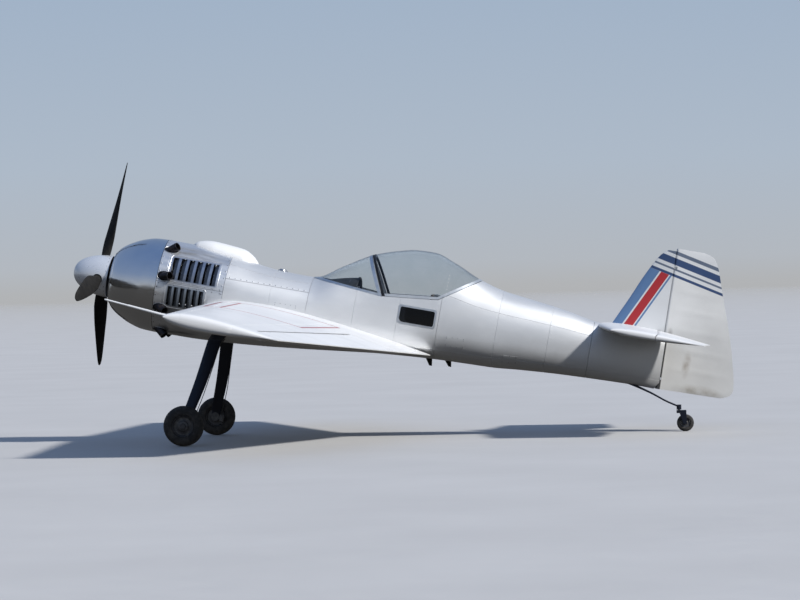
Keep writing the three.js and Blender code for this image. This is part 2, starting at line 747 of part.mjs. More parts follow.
function elevatorHinge() {
  const half = (y) => {
    const ring = stabiliserRing(y);
    const [lead, trail] = [ring[CHORD_SHARES.length].x, ring[0].x];
    const t = y / STABILISER.tipY;
    const thick = THREE.MathUtils.lerp(STABILISER.rootThick, STABILISER.tipThick, t);
    return aerofoil((STABILISER.hingeX - lead) / (trail - lead), thick) * (trail - lead) * 0.98;
  };
  const { hingeX, z, tipY, travel } = STABILISER;
  return {
    from: [hingeX, 0, z], to: [hingeX, -tipY, z], halfFrom: half(0), halfTo: half(tipY), travel,
    brackets: ELEVATOR.brackets,
  };
}

function makeStabiliser() {
  const { tipY, hingeX, z } = STABILISER;
  const stations = [[-40, 1], [-(tipY - 50), 1], [-(tipY - 14), 0.82], [-tipY, 0.45]];
  const whole = loft(stations.map(([y, shrink]) => stabiliserRing(y, shrink)));
  const hinge = elevatorHinge();
  const inner = ELEVATOR.inner;
  const fixed = fixedPart(whole, hinge, [-60, tipY + 100]);
  const clear = body(TAILCONE_START, 5990, -SEAT_GAP).add(finSolid(SEAT_GAP));
  addPair("stabiliser", fixed.subtract(clear), FINISH.silver);

  const lengthAft = 900;
  const wedge = new THREE.Shape([
    new THREE.Vector2(hingeX - 200, -inner),
    new THREE.Vector2(hingeX + 40, -inner),
    new THREE.Vector2(hingeX + 40 + lengthAft, -inner - lengthAft / ELEVATOR.cutAft),
    new THREE.Vector2(hingeX + 40 + lengthAft, 500),
    new THREE.Vector2(hingeX - 200, 500),
  ]);
  const cut = new THREE.ExtrudeGeometry(wedge, { depth: 600, bevelEnabled: false }).translate(0, 0, z - 300);
  const boreStart = [hingeX, 0, z];
  const bore = bar(boreStart, [hingeX, -inner - ELEVATOR.tubeDepth - 1, z], ELEVATOR.tube + SEAT_GAP + 0.1);
  const moving = movingPart(whole, hinge, [inner, tipY + 50]).subtract(toSolid(cut)).subtract(bore);
  addPair("elevator", moving, FINISH.silver);
  const reach = inner + ELEVATOR.tubeDepth;
  add("elevator_torque_tube", bar([hingeX, -reach, z], [hingeX, reach, z], ELEVATOR.tube), FINISH.steel);
}

function rudderHinge() {
  const { low, high, halfLow, halfHigh, travel } = RUDDER_HINGE;
  const length = Math.hypot(high[0] - low[0], high[1] - low[1]);
  return {
    from: [low[0], 0, low[1]], to: [high[0], 0, high[1]], halfFrom: halfLow, halfTo: halfHigh, travel,
    brackets: [110, length - 200], length,
  };
}

function hingeXAt(z) {
  const { low, high } = RUDDER_HINGE;
  return THREE.MathUtils.mapLinear(z, low[1], high[1], low[0], high[0]);
}

function hingeHalfAt(z) {
  const { low, high, halfLow, halfHigh } = RUDDER_HINGE;
  return THREE.MathUtils.mapLinear(z, low[1], high[1], halfLow, halfHigh);
}

// The fin ahead of the rudder's hinge line: each section is half an ellipse.
function finSolid(grow = 0) {
  const steps = 7;
  const rings = FIN.map(([z, lead]) => {
    const back = hingeXAt(z) + 40;
    const half = hingeHalfAt(z) + grow;
    const side = (sign) => Array.from({ length: steps }, (_, i) => {
      const t = (i + 1) / steps;
      const x = THREE.MathUtils.lerp(lead - grow, back, t * t);
      return new THREE.Vector3(x, sign * half * Math.sqrt(1 - (1 - t * t) ** 2), z);
    });
    return [new THREE.Vector3(lead - grow, 0, z), ...side(1), ...side(-1).reverse()];
  });
  return loft(rings);
}

function rudderWhole() {
  const rings = RUDDER.map(([z, trail]) => {
    const x = hingeXAt(z);
    const half = hingeHalfAt(z);
    const nose = x - half - 10;
    return [
      new THREE.Vector3(nose, half, z),
      new THREE.Vector3(x, half, z),
      new THREE.Vector3(trail, TRAILING_EDGE, z),
      new THREE.Vector3(trail, -TRAILING_EDGE, z),
      new THREE.Vector3(x, -half, z),
      new THREE.Vector3(nose, -half, z),
    ];
  });
  return loft(rings);
}

function makeFin() {
  const hinge = rudderHinge();
  const span = [-100, hinge.length + 100];
  const { hingeX, z } = STABILISER;
  const slot = box(hingeX - 22, hingeX + 80, -200, 200, z - 22, z + 22);
  const finSlot = box(hingeX - 22, hingeX + 80, -200, 200, z - 100, z + 22);
  const tailcone = body(TAILCONE_START, 5990);
  const coneHinge = { ...hinge, brackets: hinge.brackets.slice(0, 1) };
  add("tailcone", fixedPart(tailcone, coneHinge, span).subtract(slot), FINISH.silver);
  const finHinge = { ...hinge, brackets: hinge.brackets.slice(1) };
  const clear = body(5100, 5990, -SEAT_GAP);
  add("fin", fixedPart(finSolid(), finHinge, span).subtract(clear).subtract(finSlot), FINISH.silver);
  add("rudder", movingPart(rudderWhole(), hinge, [0, hinge.length]), FINISH.silver);
}

// Landing gear

// Brake on each leg: a torque plate round the axle and a caliper aft of it
const BRAKE = {
  outer: 1099, inner: 1070, radius: 46,
  caliper: { x: [20, 94], z: [-38, 30], inner: 1052 },
};

function brake([x, , z]) {
  const { outer, inner, radius, caliper } = BRAKE;
  const plate = bar([x, -inner, z], [x, -outer, z], radius, radius, 20);
  const [x0, x1] = caliper.x.map((v) => x + v);
  const [z0, z1] = caliper.z.map((v) => z + v);
  return plate.add(box(x0, x1, -outer, -caliper.inner, z0, z1));
}

function makeMainGear() {
  const { x, y, radius, width, rim, axle } = MAIN_WHEEL;
  const centre = toLevel([x, -y, radius]);
  const path = [
    [1372, 250, -392, 150, 30],
    [1370, 400, -432, 146, 30],
    [1362, 520, -506, 138, 28],
    [1340, 790, -866, 124, 24],
    [centre[0] + 4, 1040, -1206, 104, 20],
    [centre[0], 1084, centre[2] + 40, 92, 20],
    [centre[0], 1092, centre[2] - 34, 84, 18],
  ];
  const rings = path.map(([px, py, pz, chord, thick], i) => {
    const [before, after] = [path[Math.max(i - 1, 0)], path[Math.min(i + 1, path.length - 1)]];
    const along = new THREE.Vector3(0, -(after[1] - before[1]), after[2] - before[2]).normalize();
    const across = new THREE.Vector3(0, -along.z, along.y);
    const corner = (sx, sn) => new THREE.Vector3(px, -py, pz)
      .add(new THREE.Vector3((sx * chord) / 2, 0, 0))
      .addScaledVector(across, (sn * thick) / 2);
    return [
      corner(-1, 0), corner(-0.72, 1), corner(0.72, 1), corner(1, 0), corner(0.72, -1), corner(-0.72, -1),
    ];
  });
  const stubAxle = bar([centre[0], -1080, centre[2]], [centre[0], -(y + 44), centre[2]], axle, axle, 16);
  const leg = loft(rings).subtract(body(1000, 2000, -SEAT_GAP)).add(stubAxle).add(brake(centre));
  addPair("gear_leg", leg, FINISH.dark);

  const place = [x, -y, radius];
  const w = width / 2;
  const bore = axle + 0.9;
  const hub = [
    [-w + 18, bore], [-w + 18, 52], [-w + 30, 58], [-w + 34, rim - 12], [-w + 10, rim - 8], [-w + 10, rim],
    [w - 10, rim], [w - 10, rim - 8], [w - 34, rim - 12], [w - 30, 58], [w - 14, 50], [w - 14, bore],
    [-w + 18, bore],
  ];
  const wheelHub = turnedOnAxle(hub, 20, place);
  addPair("main_wheel", wheelHub, FINISH.steel, "ground");
  const seat = rim + SEAT_GAP + 0.6;
  const tire = [
    [-w + 12, seat], [-w + 2, seat + 20], [-w, radius - 52], [-w + 12, radius - 18], [-w + 38, radius - 3],
    [0, radius], [w - 38, radius - 3], [w - 12, radius - 18], [w, radius - 52], [w - 2, seat + 20],
    [w - 12, seat], [-w + 12, seat],
  ];
  addPair("main_tire", turnedOnAxle(tire, 20, place), FINISH.rubber, "ground");
}

function makeTailGear() {
  const { x, radius, width, rim, axle } = TAIL_WHEEL;
  const head = toLevel([TAIL_PIVOT_X, 0, 252]);
  const path = [
    [5560, -150, 72, 24],
    [5700, -178, 70, 24],
    [5880, -226, 62, 20],
    [6040, -280, 54, 18],
    [head[0] - 8, head[2] + 6, 50, 18],
  ];
  const rings = path.map(([px, pz, wide, thick]) => [
    new THREE.Vector3(px, -wide / 2, pz + thick / 2),
    new THREE.Vector3(px, wide / 2, pz + thick / 2),
    new THREE.Vector3(px, wide / 2, pz - thick / 2),
    new THREE.Vector3(px, -wide / 2, pz - thick / 2),
  ]);
  const collar = bar(toLevel([TAIL_PIVOT_X, 0, 276]), toLevel([TAIL_PIVOT_X, 0, 226]), 25, 25, 16);
  const pin = bar(toLevel([TAIL_PIVOT_X, 0, 240]), toLevel([TAIL_PIVOT_X, 0, 194]), 10, 10, 16);
  const spring = loft(rings).add(collar).subtract(body(5100, 5990, -SEAT_GAP)).add(pin);
  add("tail_spring", spring, FINISH.dark);

  const crownTop = 219;
  const crownLow = 190;
  const arm = width / 2 + 9;
  const crown = box(TAIL_PIVOT_X - 26, x + 12, -arm - 8, arm + 8, crownLow, crownTop);
  const sides = [-1, 1].map((side) => {
    const inner = side * arm;
    const outline = [
      [TAIL_PIVOT_X - 4, crownTop - 4], [x + 12, crownTop - 4], [x + 16, radius - 14], [x - 16, radius - 14],
    ];
    return slabXZ(outline, Math.min(inner, inner + side * 8), Math.max(inner, inner + side * 8));
  });
  const axleBar = bar([x, -arm - 8, radius], [x, arm + 8, radius], axle, axle, 14);
  const bore = bar([TAIL_PIVOT_X, 0, crownLow - 5], [TAIL_PIVOT_X, 0, crownTop + 5], 10.5, 10.5, 16);
  const fork = joined([crown, ...sides, axleBar]).subtract(bore);
  add("tail_fork", fork, FINISH.dark, "ground");

  const place = [x, 0, radius];
  const w = width / 2;
  const boreRadius = axle + SEAT_GAP + 0.2;
  const hub = [
    [-w + 4, boreRadius], [-w + 4, 26], [-w + 8, rim], [w - 8, rim], [w - 4, 26], [w - 4, boreRadius],
    [-w + 4, boreRadius],
  ];
  add("tail_wheel", turnedOnAxle(hub, 16, place), FINISH.steel, "ground");
  const seat = rim + SEAT_GAP + 0.5;
  const tire = [
    [-w + 10, seat], [-w, seat + 14], [-w + 6, radius - 10], [0, radius], [w - 6, radius - 10],
    [w, seat + 14], [w - 10, seat], [-w + 10, seat],
  ];
  add("tail_tire", turnedOnAxle(tire, 16, place), FINISH.rubber, "ground");
}

// Propeller

// One blade with its root, or with a grow the socket that holds it.
function bladeSolid(angle, grow = 0) {
  const a = THREE.MathUtils.degToRad(angle);
  const radial = new THREE.Vector3(0, -Math.sin(a), Math.cos(a));
  const tangent = new THREE.Vector3(0, -Math.cos(a), -Math.sin(a));
  const aft = new THREE.Vector3(1, 0, 0);
  const rings = BLADE.map(([r, chord, thick, pitch], station) => {
    const p = THREE.MathUtils.degToRad(pitch);
    const out = station === 0 ? r - grow : r;
    const chordLine = tangent.clone().multiplyScalar(Math.cos(p)).addScaledVector(aft, Math.sin(p));
    const normal = tangent.clone().multiplyScalar(-Math.sin(p)).addScaledVector(aft, Math.cos(p));
    return Array.from({ length: BLADE_POINTS }, (_, i) => {
      const t = (2 * Math.PI * i) / BLADE_POINTS;
      return radial.clone().multiplyScalar(out)
        .addScaledVector(chordLine, (chord / 2 + grow) * Math.cos(t))
        .addScaledVector(normal, (thick / 2 + grow) * Math.sin(t));
    });
  });
  return loft(rings);
}

function makePropeller() {
  const { tip, base, radius, wall } = SPINNER;
  const steps = 5;
  const outline = (shrink, nose) => Array.from({ length: steps + 1 }, (_, i) => {
    const t = i / steps;
    const r = (radius - shrink) * Math.sin((t * Math.PI) / 2) ** 0.9;
    return [THREE.MathUtils.lerp(base, nose, Math.cos((t * Math.PI) / 2)), r];
  });
  const outer = outline(0, tip);
  const inner = outline(wall, tip + wall * 1.6).reverse();
  outer[0][1] = 0;
  const shell = turned([...outer, ...inner], 20);
  const roots = BLADE_AT.map((angle) => bladeSolid(angle));
  const cuts = BLADE_AT.map((angle) => bar(onCircle(0, 120, angle), onCircle(0, 260, angle), 52, 52, 8));
  add("spinner", shell.subtract(joined(cuts)), FINISH.polished);

  const hubBody = bar([-70, 0, 0], [base - 2, 0, 0], 92, 92, 16);
  const rim = radius - wall - 1;
  const back = turned([[base - 8, 60], [base - 8, rim], [base, rim], [base, 60], [base - 8, 60]], 20);
  const boreRadius = SHAFT.radius + SHAFT.clearance;
  const bore = bar([18, 0, 0], [200, 0, 0], boreRadius, boreRadius, SHAFT.sides);
  const sockets = joined(BLADE_AT.map((angle) => bladeSolid(angle, 2 * SEAT_GAP)));
  const floorBar = bar([-70, 0, 0], [base - 12, 0, 0], 69.5, 69.5, 16);
  const hub = hubBody.add(back).subtract(sockets).add(floorBar).subtract(bore);
  add("propeller_hub", hub, FINISH.dark);
  roots.forEach((blade, i) => add(`propeller_blade_${i + 1}`, blade, FINISH.dark));
}

// Cockpit

const COCKPIT_FLOOR = { from: 2150, low: -262, high: -242 };
const STANDING = COCKPIT_FLOOR.high + SEAT_GAP;
const PANEL_OUTLINE = [[2590, 0], [2606, 0], [2626, 404], [2610, 404]];
// The glare shield's arched roof line: x, height in the middle, height at its edges
const GLARE_SHIELD = {
  half: 400, thick: 6, rows: [[2236, 334, 288], [2400, 372, 300], [2560, 412, 306], [2690, 436, 306]],
};
const SEAT = {
  half: 210,
  outline: [
    [2960, STANDING], [3430, STANDING], [3560, 300], [3540, 395], [3490, 405], [3470, 330],
    [3350, -130], [3290, -160], [2960, -130],
  ],
  headrest: { x: [3452, 3500], half: 100, z: [318, 398] },
};
const PEDALS = { x: 2420, z: -200, half: 220, tube: 11, at: 130, plateHalf: 48, stand: 210 };
const QUADRANT = { x: [2800, 3020], inner: 322, z: [-30, 60], levers: [[2870, 85], [2930, 70]], leverY: 337 };

// The space under the glare shield's roof line, lowered and made longer by a shift.
function underRoof(shift) {
  const { half, rows } = GLARE_SHIELD;
  const steps = 8;
  const rings = rows.map(([x, crest, edge], i) => {
    const end = i === 0 ? -shift : shift;
    const place = i === 0 || i === rows.length - 1 ? x + end : x;
    const arc = Array.from({ length: steps + 1 }, (_, k) => {
      const t = 1 - (2 * k) / steps;
      return new THREE.Vector3(place, half * t, edge - shift + (crest - edge) * (1 - t * t));
    });
    return [...arc, new THREE.Vector3(place, -half, -shift), new THREE.Vector3(place, half, -shift)];
  });
  return loft(rings);
}

function makePedals() {
  const { x, z, half, tube, at, plateHalf, stand } = PEDALS;
  const pieces = [bar([x, -half, z], [x, half, z], tube, tube, 10)];
  for (const side of [-1, 1]) {
    pieces.push(box(x - 25, x + 25, side * stand - 6, side * stand + 6, STANDING, z + 15));
    pieces.push(bar([x, side * at, z], [x - 15, side * at, z + 140], 9));
    const plate = [[x - 2, z + 92], [x + 6, z + 91], [x - 22, z + 197], [x - 30, z + 196]];
    pieces.push(slabXZ(plate, side * at - plateHalf, side * at + plateHalf));
  }
  add("rudder_pedals", joined(pieces), FINISH.steel);
}

function makeQuadrant(inside) {
  const { x, inner, z, levers, leverY } = QUADRANT;
  const pieces = [box(...x, -FAR, -inner, ...z).intersect(inside)];
  for (const [at, length] of levers) {
    const top = z[1] + length;
    pieces.push(bar([at, -leverY, z[1] - 10], [at - 20, -leverY, top], 4, 4, 6));
    pieces.push(bar([at - 22, -leverY, top - 5], [at - 22, -leverY, top + 25], 14, 12, 8));
  }
  add("throttle_quadrant", joined(pieces), FINISH.interior);
}

function makeCockpit() {
  const inside = hollow(WALL + SEAT_GAP);
  const { from, low, high } = COCKPIT_FLOOR;
  add("cockpit_floor", box(from, TUB_END - 40, -FAR, FAR, low, high).intersect(inside), FINISH.interior);
  const shield = underRoof(0).subtract(underRoof(GLARE_SHIELD.thick));
  const panel = slabXZ(PANEL_OUTLINE, -FAR, FAR).intersect(underRoof(0)).add(shield);
  add("instrument_panel", panel.intersect(inside), FINISH.dark);
  const { half, outline, headrest } = SEAT;
  const pad = box(...headrest.x, -headrest.half, headrest.half, ...headrest.z);
  add("pilot_seat", slabXZ(outline, -half, half).add(pad).intersect(inside), FINISH.leather);
  const stick = [
    bar([2800, 0, STANDING], [2800, 0, -205], 34, 20, 12),
    bar([2800, 0, -215], [2812, 0, 40], 14, 12, 8),
    bar([2812, 0, 38], [2822, 0, 150], 19, 17, 10),
  ];
  add("control_stick", joined(stick), FINISH.dark);
  makePedals();
  makeQuadrant(inside);
}

makeCowl();
makeEngine();
makeFirewall();
makeBlister();
makeFuselage();
makeSideWindows();
makeCanopy();
makeWings();
makePitot();
makeStabiliser();
makeFin();
makeMainGear();
makeTailGear();
makePropeller();
makeCockpit();

const aircraft = new THREE.Group();
const airframe = new THREE.Group();
airframe.rotation.y = PARKED_ANGLE;
airframe.position.z = THRUST_LINE_HEIGHT;
const ground = new THREE.Group();
aircraft.add(airframe, ground);
for (const { name, solid, finish, frame } of parts) {
  const mesh = new THREE.Mesh(toGeometry(solid), new THREE.MeshStandardMaterial(finish));
  mesh.name = name;
  (frame === "ground" ? ground : airframe).add(mesh);
}
aircraft.updateMatrixWorld(true);
const extent = new THREE.Box3().setFromObject(aircraft, true);
aircraft.position.x = -(extent.min.x + extent.max.x) / 2;

export default aircraft;
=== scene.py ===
"""Looks of a parked single-engine aerobatic monoplane, built around its frame. Metres.

In the level frame +X runs aft from the propeller disc, -Y is port and +Z is up from the thrust line.
PARKED tilts what is drawn there nose up, as the aircraft stands. Wheels are drawn upright.
"""
import math

import bmesh
import bpy
from mathutils import Matrix, Vector


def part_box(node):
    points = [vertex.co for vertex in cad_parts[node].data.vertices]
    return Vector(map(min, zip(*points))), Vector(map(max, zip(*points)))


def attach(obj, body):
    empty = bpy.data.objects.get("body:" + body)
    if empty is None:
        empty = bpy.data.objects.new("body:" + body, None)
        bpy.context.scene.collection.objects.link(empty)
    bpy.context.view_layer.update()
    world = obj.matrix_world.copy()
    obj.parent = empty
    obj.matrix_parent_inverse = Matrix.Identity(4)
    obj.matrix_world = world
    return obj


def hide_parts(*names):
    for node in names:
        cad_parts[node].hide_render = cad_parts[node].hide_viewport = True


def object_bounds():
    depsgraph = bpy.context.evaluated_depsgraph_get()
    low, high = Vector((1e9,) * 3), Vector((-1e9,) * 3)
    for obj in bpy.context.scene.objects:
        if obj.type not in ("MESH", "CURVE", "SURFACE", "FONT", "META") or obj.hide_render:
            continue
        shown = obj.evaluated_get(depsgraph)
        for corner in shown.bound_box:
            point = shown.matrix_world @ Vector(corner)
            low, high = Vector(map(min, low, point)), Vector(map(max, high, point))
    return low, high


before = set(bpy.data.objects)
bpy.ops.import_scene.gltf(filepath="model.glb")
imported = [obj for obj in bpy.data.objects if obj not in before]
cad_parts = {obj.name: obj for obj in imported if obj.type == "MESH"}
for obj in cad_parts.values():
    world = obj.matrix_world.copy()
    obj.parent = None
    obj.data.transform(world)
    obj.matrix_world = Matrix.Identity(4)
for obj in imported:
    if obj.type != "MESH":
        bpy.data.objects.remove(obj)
cad_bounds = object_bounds()

# Stance
PARKED_ANGLE = math.radians(11.1)
THRUST_LINE_HEIGHT = 1.755
MAIN_WHEEL = {
    "x": 1.017, "y": 1.175, "radius": 0.205, "width": 0.140, "rim": 0.108, "axle": 0.020,
    "play": 0.0009, "seat": 0.0009,
}
TAIL_WHEEL = {
    "x": 6.070, "radius": 0.088, "width": 0.058, "rim": 0.046, "axle": 0.008,
    "play": 0.0005, "seat": 0.0008,
}
TAIL_PIVOT_X = 6.007


def middle_of(node):
    low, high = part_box(node)
    return (low + high) / 2


DISC_X = middle_of("main_tire_left").x - MAIN_WHEEL["x"]
UPRIGHT = Matrix.Translation((DISC_X, 0, 0))
PARKED = Matrix.Translation((DISC_X, 0, THRUST_LINE_HEIGHT)) @ Matrix.Rotation(PARKED_ANGLE, 4, "Y")
TO_LEVEL = PARKED.inverted() @ UPRIGHT

# Outer shape of the body from cowl to tail: x, top, bottom, half width, height of the widest line, power
BODY = [
    (0.600, 0.489, -0.488, 0.489, 0.000, 2.00),
    (0.980, 0.484, -0.487, 0.487, 0.000, 2.00),
    (1.360, 0.440, -0.473, 0.474, -0.005, 2.05),
    (1.840, 0.370, -0.437, 0.452, -0.015, 2.15),
    (2.180, 0.361, -0.402, 0.434, -0.015, 2.20),
    (2.240, 0.366, -0.396, 0.431, -0.015, 2.20),
    (2.500, 0.522, -0.366, 0.419, -0.010, 2.20),
    (2.790, 0.692, -0.332, 0.405, -0.005, 2.20),
    (3.030, 0.776, -0.306, 0.393, 0.000, 2.20),
    (3.260, 0.824, -0.288, 0.383, 0.005, 2.20),
    (3.420, 0.828, -0.277, 0.374, 0.010, 2.20),
    (3.660, 0.752, -0.264, 0.361, 0.020, 2.20),
    (3.965, 0.620, -0.255, 0.342, 0.030, 2.25),
    (4.200, 0.556, -0.249, 0.323, 0.040, 2.30),
    (4.500, 0.516, -0.224, 0.295, 0.050, 2.30),
    (4.870, 0.464, -0.200, 0.252, 0.060, 2.30),
    (5.190, 0.405, -0.187, 0.204, 0.070, 2.30),
    (5.500, 0.382, -0.178, 0.150, 0.075, 2.30),
    (5.700, 0.376, -0.174, 0.112, 0.080, 2.30),
    (5.990, 0.370, -0.180, 0.050, 0.080, 2.30),
]
WALL = 0.025
SKIN = 0.012
GLASS = 0.006
FRAME_WALL = 0.020

# Body joints between panels, along X
COWL_SEAM = 0.660
FIREWALL = 1.360
DECK_FLOOR = 0.200
TUB_END = 3.600
TAILCONE_START = 5.180
BODY_END = 5.990
PANEL_GAP = 0.0015
# Between fixed pieces that sit against each other
SEAT_GAP = 0.0003
SEAM_HALF = 0.003
SEAM_DEPTH = 0.003

# Cowl: dome profile as x and radius, lip first
DOME = [
    (0.142, 0.268), (0.152, 0.292), (0.195, 0.338), (0.280, 0.394), (0.400, 0.449), (0.530, 0.482),
    (0.657, 0.489),
]
COWL_SPLIT_Z = 0.058
# Each group's tint is painted sky reflection and shade on the cowl's skin round its slots
LOUVRES = [
    {"first": 0.790, "pitch": 0.084, "count": 6, "width": 0.056, "low": 0.098, "high": 0.322,
     "tint": (0.25, 0.30, 0.40)},
    {"first": 0.792, "pitch": 0.066, "count": 6, "width": 0.044, "low": -0.172, "high": 0.024,
     "tint": (0.34, 0.39, 0.45)},
]
# A vane's section: share of the slot's width from its front, height over the skin
LOUVRE_VANE = ((1.03, -0.0035), (0.70, -0.011), (0.34, -0.024), (0.30, -0.034))
STUB_ANGLES = (36, 76, 116, 156)
STUB = {"start": (0.560, 0.330), "end": (0.800, 0.543), "radius": 0.044, "bore": 0.037}

# Propeller and engine
SPINNER = {"tip": -0.290, "base": 0.100, "radius": 0.220, "wall": 0.008}
BLADE_AT = (-19.4, 100.6, 220.6)
# Blade stations: distance from the shaft's middle, chord, thickness, pitch in degrees
BLADE = [
    (0.070, 0.084, 0.084, 90), (0.190, 0.086, 0.080, 72), (0.300, 0.132, 0.052, 52),
    (0.420, 0.172, 0.036, 42), (0.620, 0.182, 0.026, 32), (0.830, 0.166, 0.019, 25),
    (1.030, 0.138, 0.014, 20), (1.180, 0.104, 0.010, 17), (1.255, 0.070, 0.008, 16),
    (1.283, 0.030, 0.006, 16),
]
ENGINE = {"cylinder_x": 0.500, "reach": 0.418, "count": 9}

# Canopy and windscreen planes, each a line in the side view from one x, z to another
SILL = ((2.232, 0.358), (2.980, 0.290))
SILL_AFT = ((2.980, 0.290), (3.560, 0.350))
BOW = ((2.790, 0.692), (2.980, 0.290))
BOW_BAND = 0.032
BOW_FOOT = 0.022
CANOPY_REAR = ((3.560, 0.350), (3.965, 0.620))
REAR_BAND = 0.026
SIDE_WINDOW = {"x": (3.190, 3.560), "z": (0.062, 0.232), "corner": 0.040}
CANOPY_HINGE = {
    "from": (3.000, 0.391, 0.288), "to": (3.540, 0.360, 0.344), "at": (0.070, 0.460),
    "radius": 0.011, "pin": 0.005, "bore": 0.0057,
}
RUNNING_GAP = 0.006

# Wing, tailplane and fin
WING = {
    "root_y": 0.300, "tip_y": 3.830, "root": (1.180, 3.575, -0.150, 0.15),
    "tip": (1.310, 2.400, -0.172, 0.13), "incidence": math.radians(1.75),
}
# Travel is what the coves ahead of the moving surfaces clear, in degrees
AILERON = {"from": 1.150, "to": 3.640, "share": 0.77, "travel": 25, "bracket_inset": 0.260}
STABILISER = {
    "tip_y": 1.480, "root": (5.205, 6.430, 0.372, 0.1), "tip": (5.375, 6.310, 0.372, 0.085),
    "hinge_x": 5.862, "travel": 25,
}
ELEVATOR = {"inner": 0.062, "cut_aft": 1.07, "bore": 0.0154, "tube_depth": 0.070, "brackets": (0.300, 1.230)}
TRAILING_EDGE = 0.004
# Fin stations: height, leading edge
FIN = [
    (0.320, 5.312), (0.487, 5.388), (0.724, 5.498), (0.941, 5.592), (1.120, 5.684), (1.215, 5.746),
    (1.262, 5.806),
]
# Rudder stations: height, trailing edge
RUDDER = [
    (-0.172, 6.520), (-0.155, 6.600), (-0.120, 6.672), (-0.070, 6.702), (0.271, 6.636), (0.937, 6.417),
    (1.200, 6.322), (1.262, 6.272), (1.292, 6.170),
]
RUDDER_RIBS = (-0.12, 0.06, 0.26, 0.46, 0.66, 0.86, 1.06, 1.22)
RUDDER_HINGE = {"low": (5.940, -0.172), "high": (5.910, 1.292), "half": (0.036, 0.024), "travel": 27}
BRACKET = {
    "width": 0.014, "half_height": 0.009, "root": 0.014, "tail": 0.007, "pin": 0.007,
    "pin_length": 0.048, "slot": 0.027, "slot_tail": 0.015, "pin_bore": 0.0079,
}

# A length past the whole aircraft, for cutting slabs
FAR = 9.0


# Shapes

class Shape:
    """Points and faces of a surface, before it becomes a piece."""

    def __init__(self, points=(), faces=()):
        self.points = [Vector(p) for p in points]
        self.faces = [list(f) for f in faces]

    def moved(self, matrix):
        return Shape([matrix @ p for p in self.points], self.faces)

    def mirrored(self):
        return Shape([(p.x, -p.y, p.z) for p in self.points], [f[::-1] for f in self.faces])


def together(shapes):
    points, faces = [], []
    for shape in shapes:
        shift = len(points)
        points.extend(shape.points)
        faces.extend([[i + shift for i in f] for f in shape.faces])
    return Shape(points, faces)


def both_sides(shape):
    return together([shape, shape.mirrored()])


def loft(rings, loop=False, capped=True):
    """A skin over rings of points. A loop joins the last ring to the first."""
    count = len(rings[0])
    steps = len(rings) if loop else len(rings) - 1
    faces = []
    for k in range(steps):
        start, after = k * count, ((k + 1) % len(rings)) * count
        for i in range(count):
            j = (i + 1) % count
            faces.append([start + i, start + j, after + j, after + i])
    if capped and not loop:
        faces.append(list(range(count))[::-1])
        faces.append([(len(rings) - 1) * count + i for i in range(count)])
    return Shape([p for ring in rings for p in ring], faces)


def circle(radius, sides):
    turns = [2 * math.pi * i / sides for i in range(sides)]
    return [(radius * math.cos(t), radius * math.sin(t)) for t in turns]


def lathe(profile, sides, loop=False):
    """Turns x, radius points about X. A loop closes on itself, and otherwise both ends lie on the axis."""
    rings = [[(x, c, s) for c, s in circle(r, sides)] for x, r in profile]
    return loft(rings, loop=loop, capped=False)


def axle_lathe(profile, place, sides):
    """Turns a closed profile of y, radius points about an axle along Y through a place."""
    x, y, z = place
    rings = [[(x + c, y + across, z + s) for c, s in circle(r, sides)] for across, r in profile]
    return loft(rings, loop=True)


def tube(points, radius, sides, loop=False):
    """A round bar along points. The radius is one number, or one for each point."""
    points = [Vector(p) for p in points]
    last = len(points) - 1
    radii = radius if isinstance(radius, (list, tuple)) else [radius] * len(points)
    rings, across = [], None
    for k, point in enumerate(points):
        if loop:
            along = points[(k + 1) % len(points)] - points[k - 1]
        else:
            along = points[min(k + 1, last)] - points[max(k - 1, 0)]
        along.normalize()
        if across is None:
            across = along.orthogonal()
        across = (across - along * across.dot(along)).normalized()
        other = along.cross(across)
        rings.append([point + across * c + other * s for c, s in circle(radii[k], sides)])
    return loft(rings, loop=loop)


def block(x, y, z):
    """A box from three spans."""
    return slab([(x[0], z[0]), (x[1], z[0]), (x[1], z[1]), (x[0], z[1])], *y)


def slab(outline, low, high, axis="Y"):
    """An outline drawn in the side view and drawn out along Y, or in the plan view along Z."""
    if axis == "Y":
        rings = [[(a, level, b) for a, b in outline] for level in (low, high)]
    else:
        rings = [[(a, b, level) for a, b in outline] for level in (low, high)]
    return loft(rings)


def directions(line):
    """The start of a line in the side view, the way along it, and the way to its left."""
    start, end = Vector(line[0]), Vector(line[1])
    along = (end - start).normalized()
    return start, along, Vector((-along.y, along.x))


def left_of(line, shift):
    """All that is on the left of a line in the side view, moved over by a shift."""
    start, along, left = directions(line)
    corners = ((-FAR, 0), (FAR, 0), (FAR, FAR), (-FAR, FAR))
    return slab([start + along * a + left * (b + shift) for a, b in corners], -FAR, FAR)


def right_of(line, shift):
    return left_of((line[1], line[0]), shift)


def to_mesh(name, shape):
    """The shape as a mesh with its loose doubles merged and its faces turned out."""
    mesh = bpy.data.meshes.new(name)
    mesh.from_pydata(shape.points, [], shape.faces)
    work = bmesh.new()
    work.from_mesh(mesh)
    bmesh.ops.remove_doubles(work, verts=work.verts, dist=1e-6)
    bmesh.ops.dissolve_degenerate(work, edges=work.edges, dist=1e-6)
    bmesh.ops.recalc_face_normals(work, faces=work.faces)
    work.to_mesh(mesh)
    work.free()
    return mesh


def placed(name, data):
    """A new object in the scene."""
    obj = bpy.data.objects.new(name, data)
    bpy.context.scene.collection.objects.link(obj)
    return obj


def evaluated(obj):
    """The object as its modifiers leave it."""
    bpy.context.view_layer.update()
    return obj.evaluated_get(bpy.context.evaluated_depsgraph_get())


def shape_of(mesh):
    return Shape([v.co for v in mesh.vertices], [p.vertices for p in mesh.polygons])


def discard(obj):
    mesh = obj.data
    bpy.data.objects.remove(obj)
    bpy.data.meshes.remove(mesh)


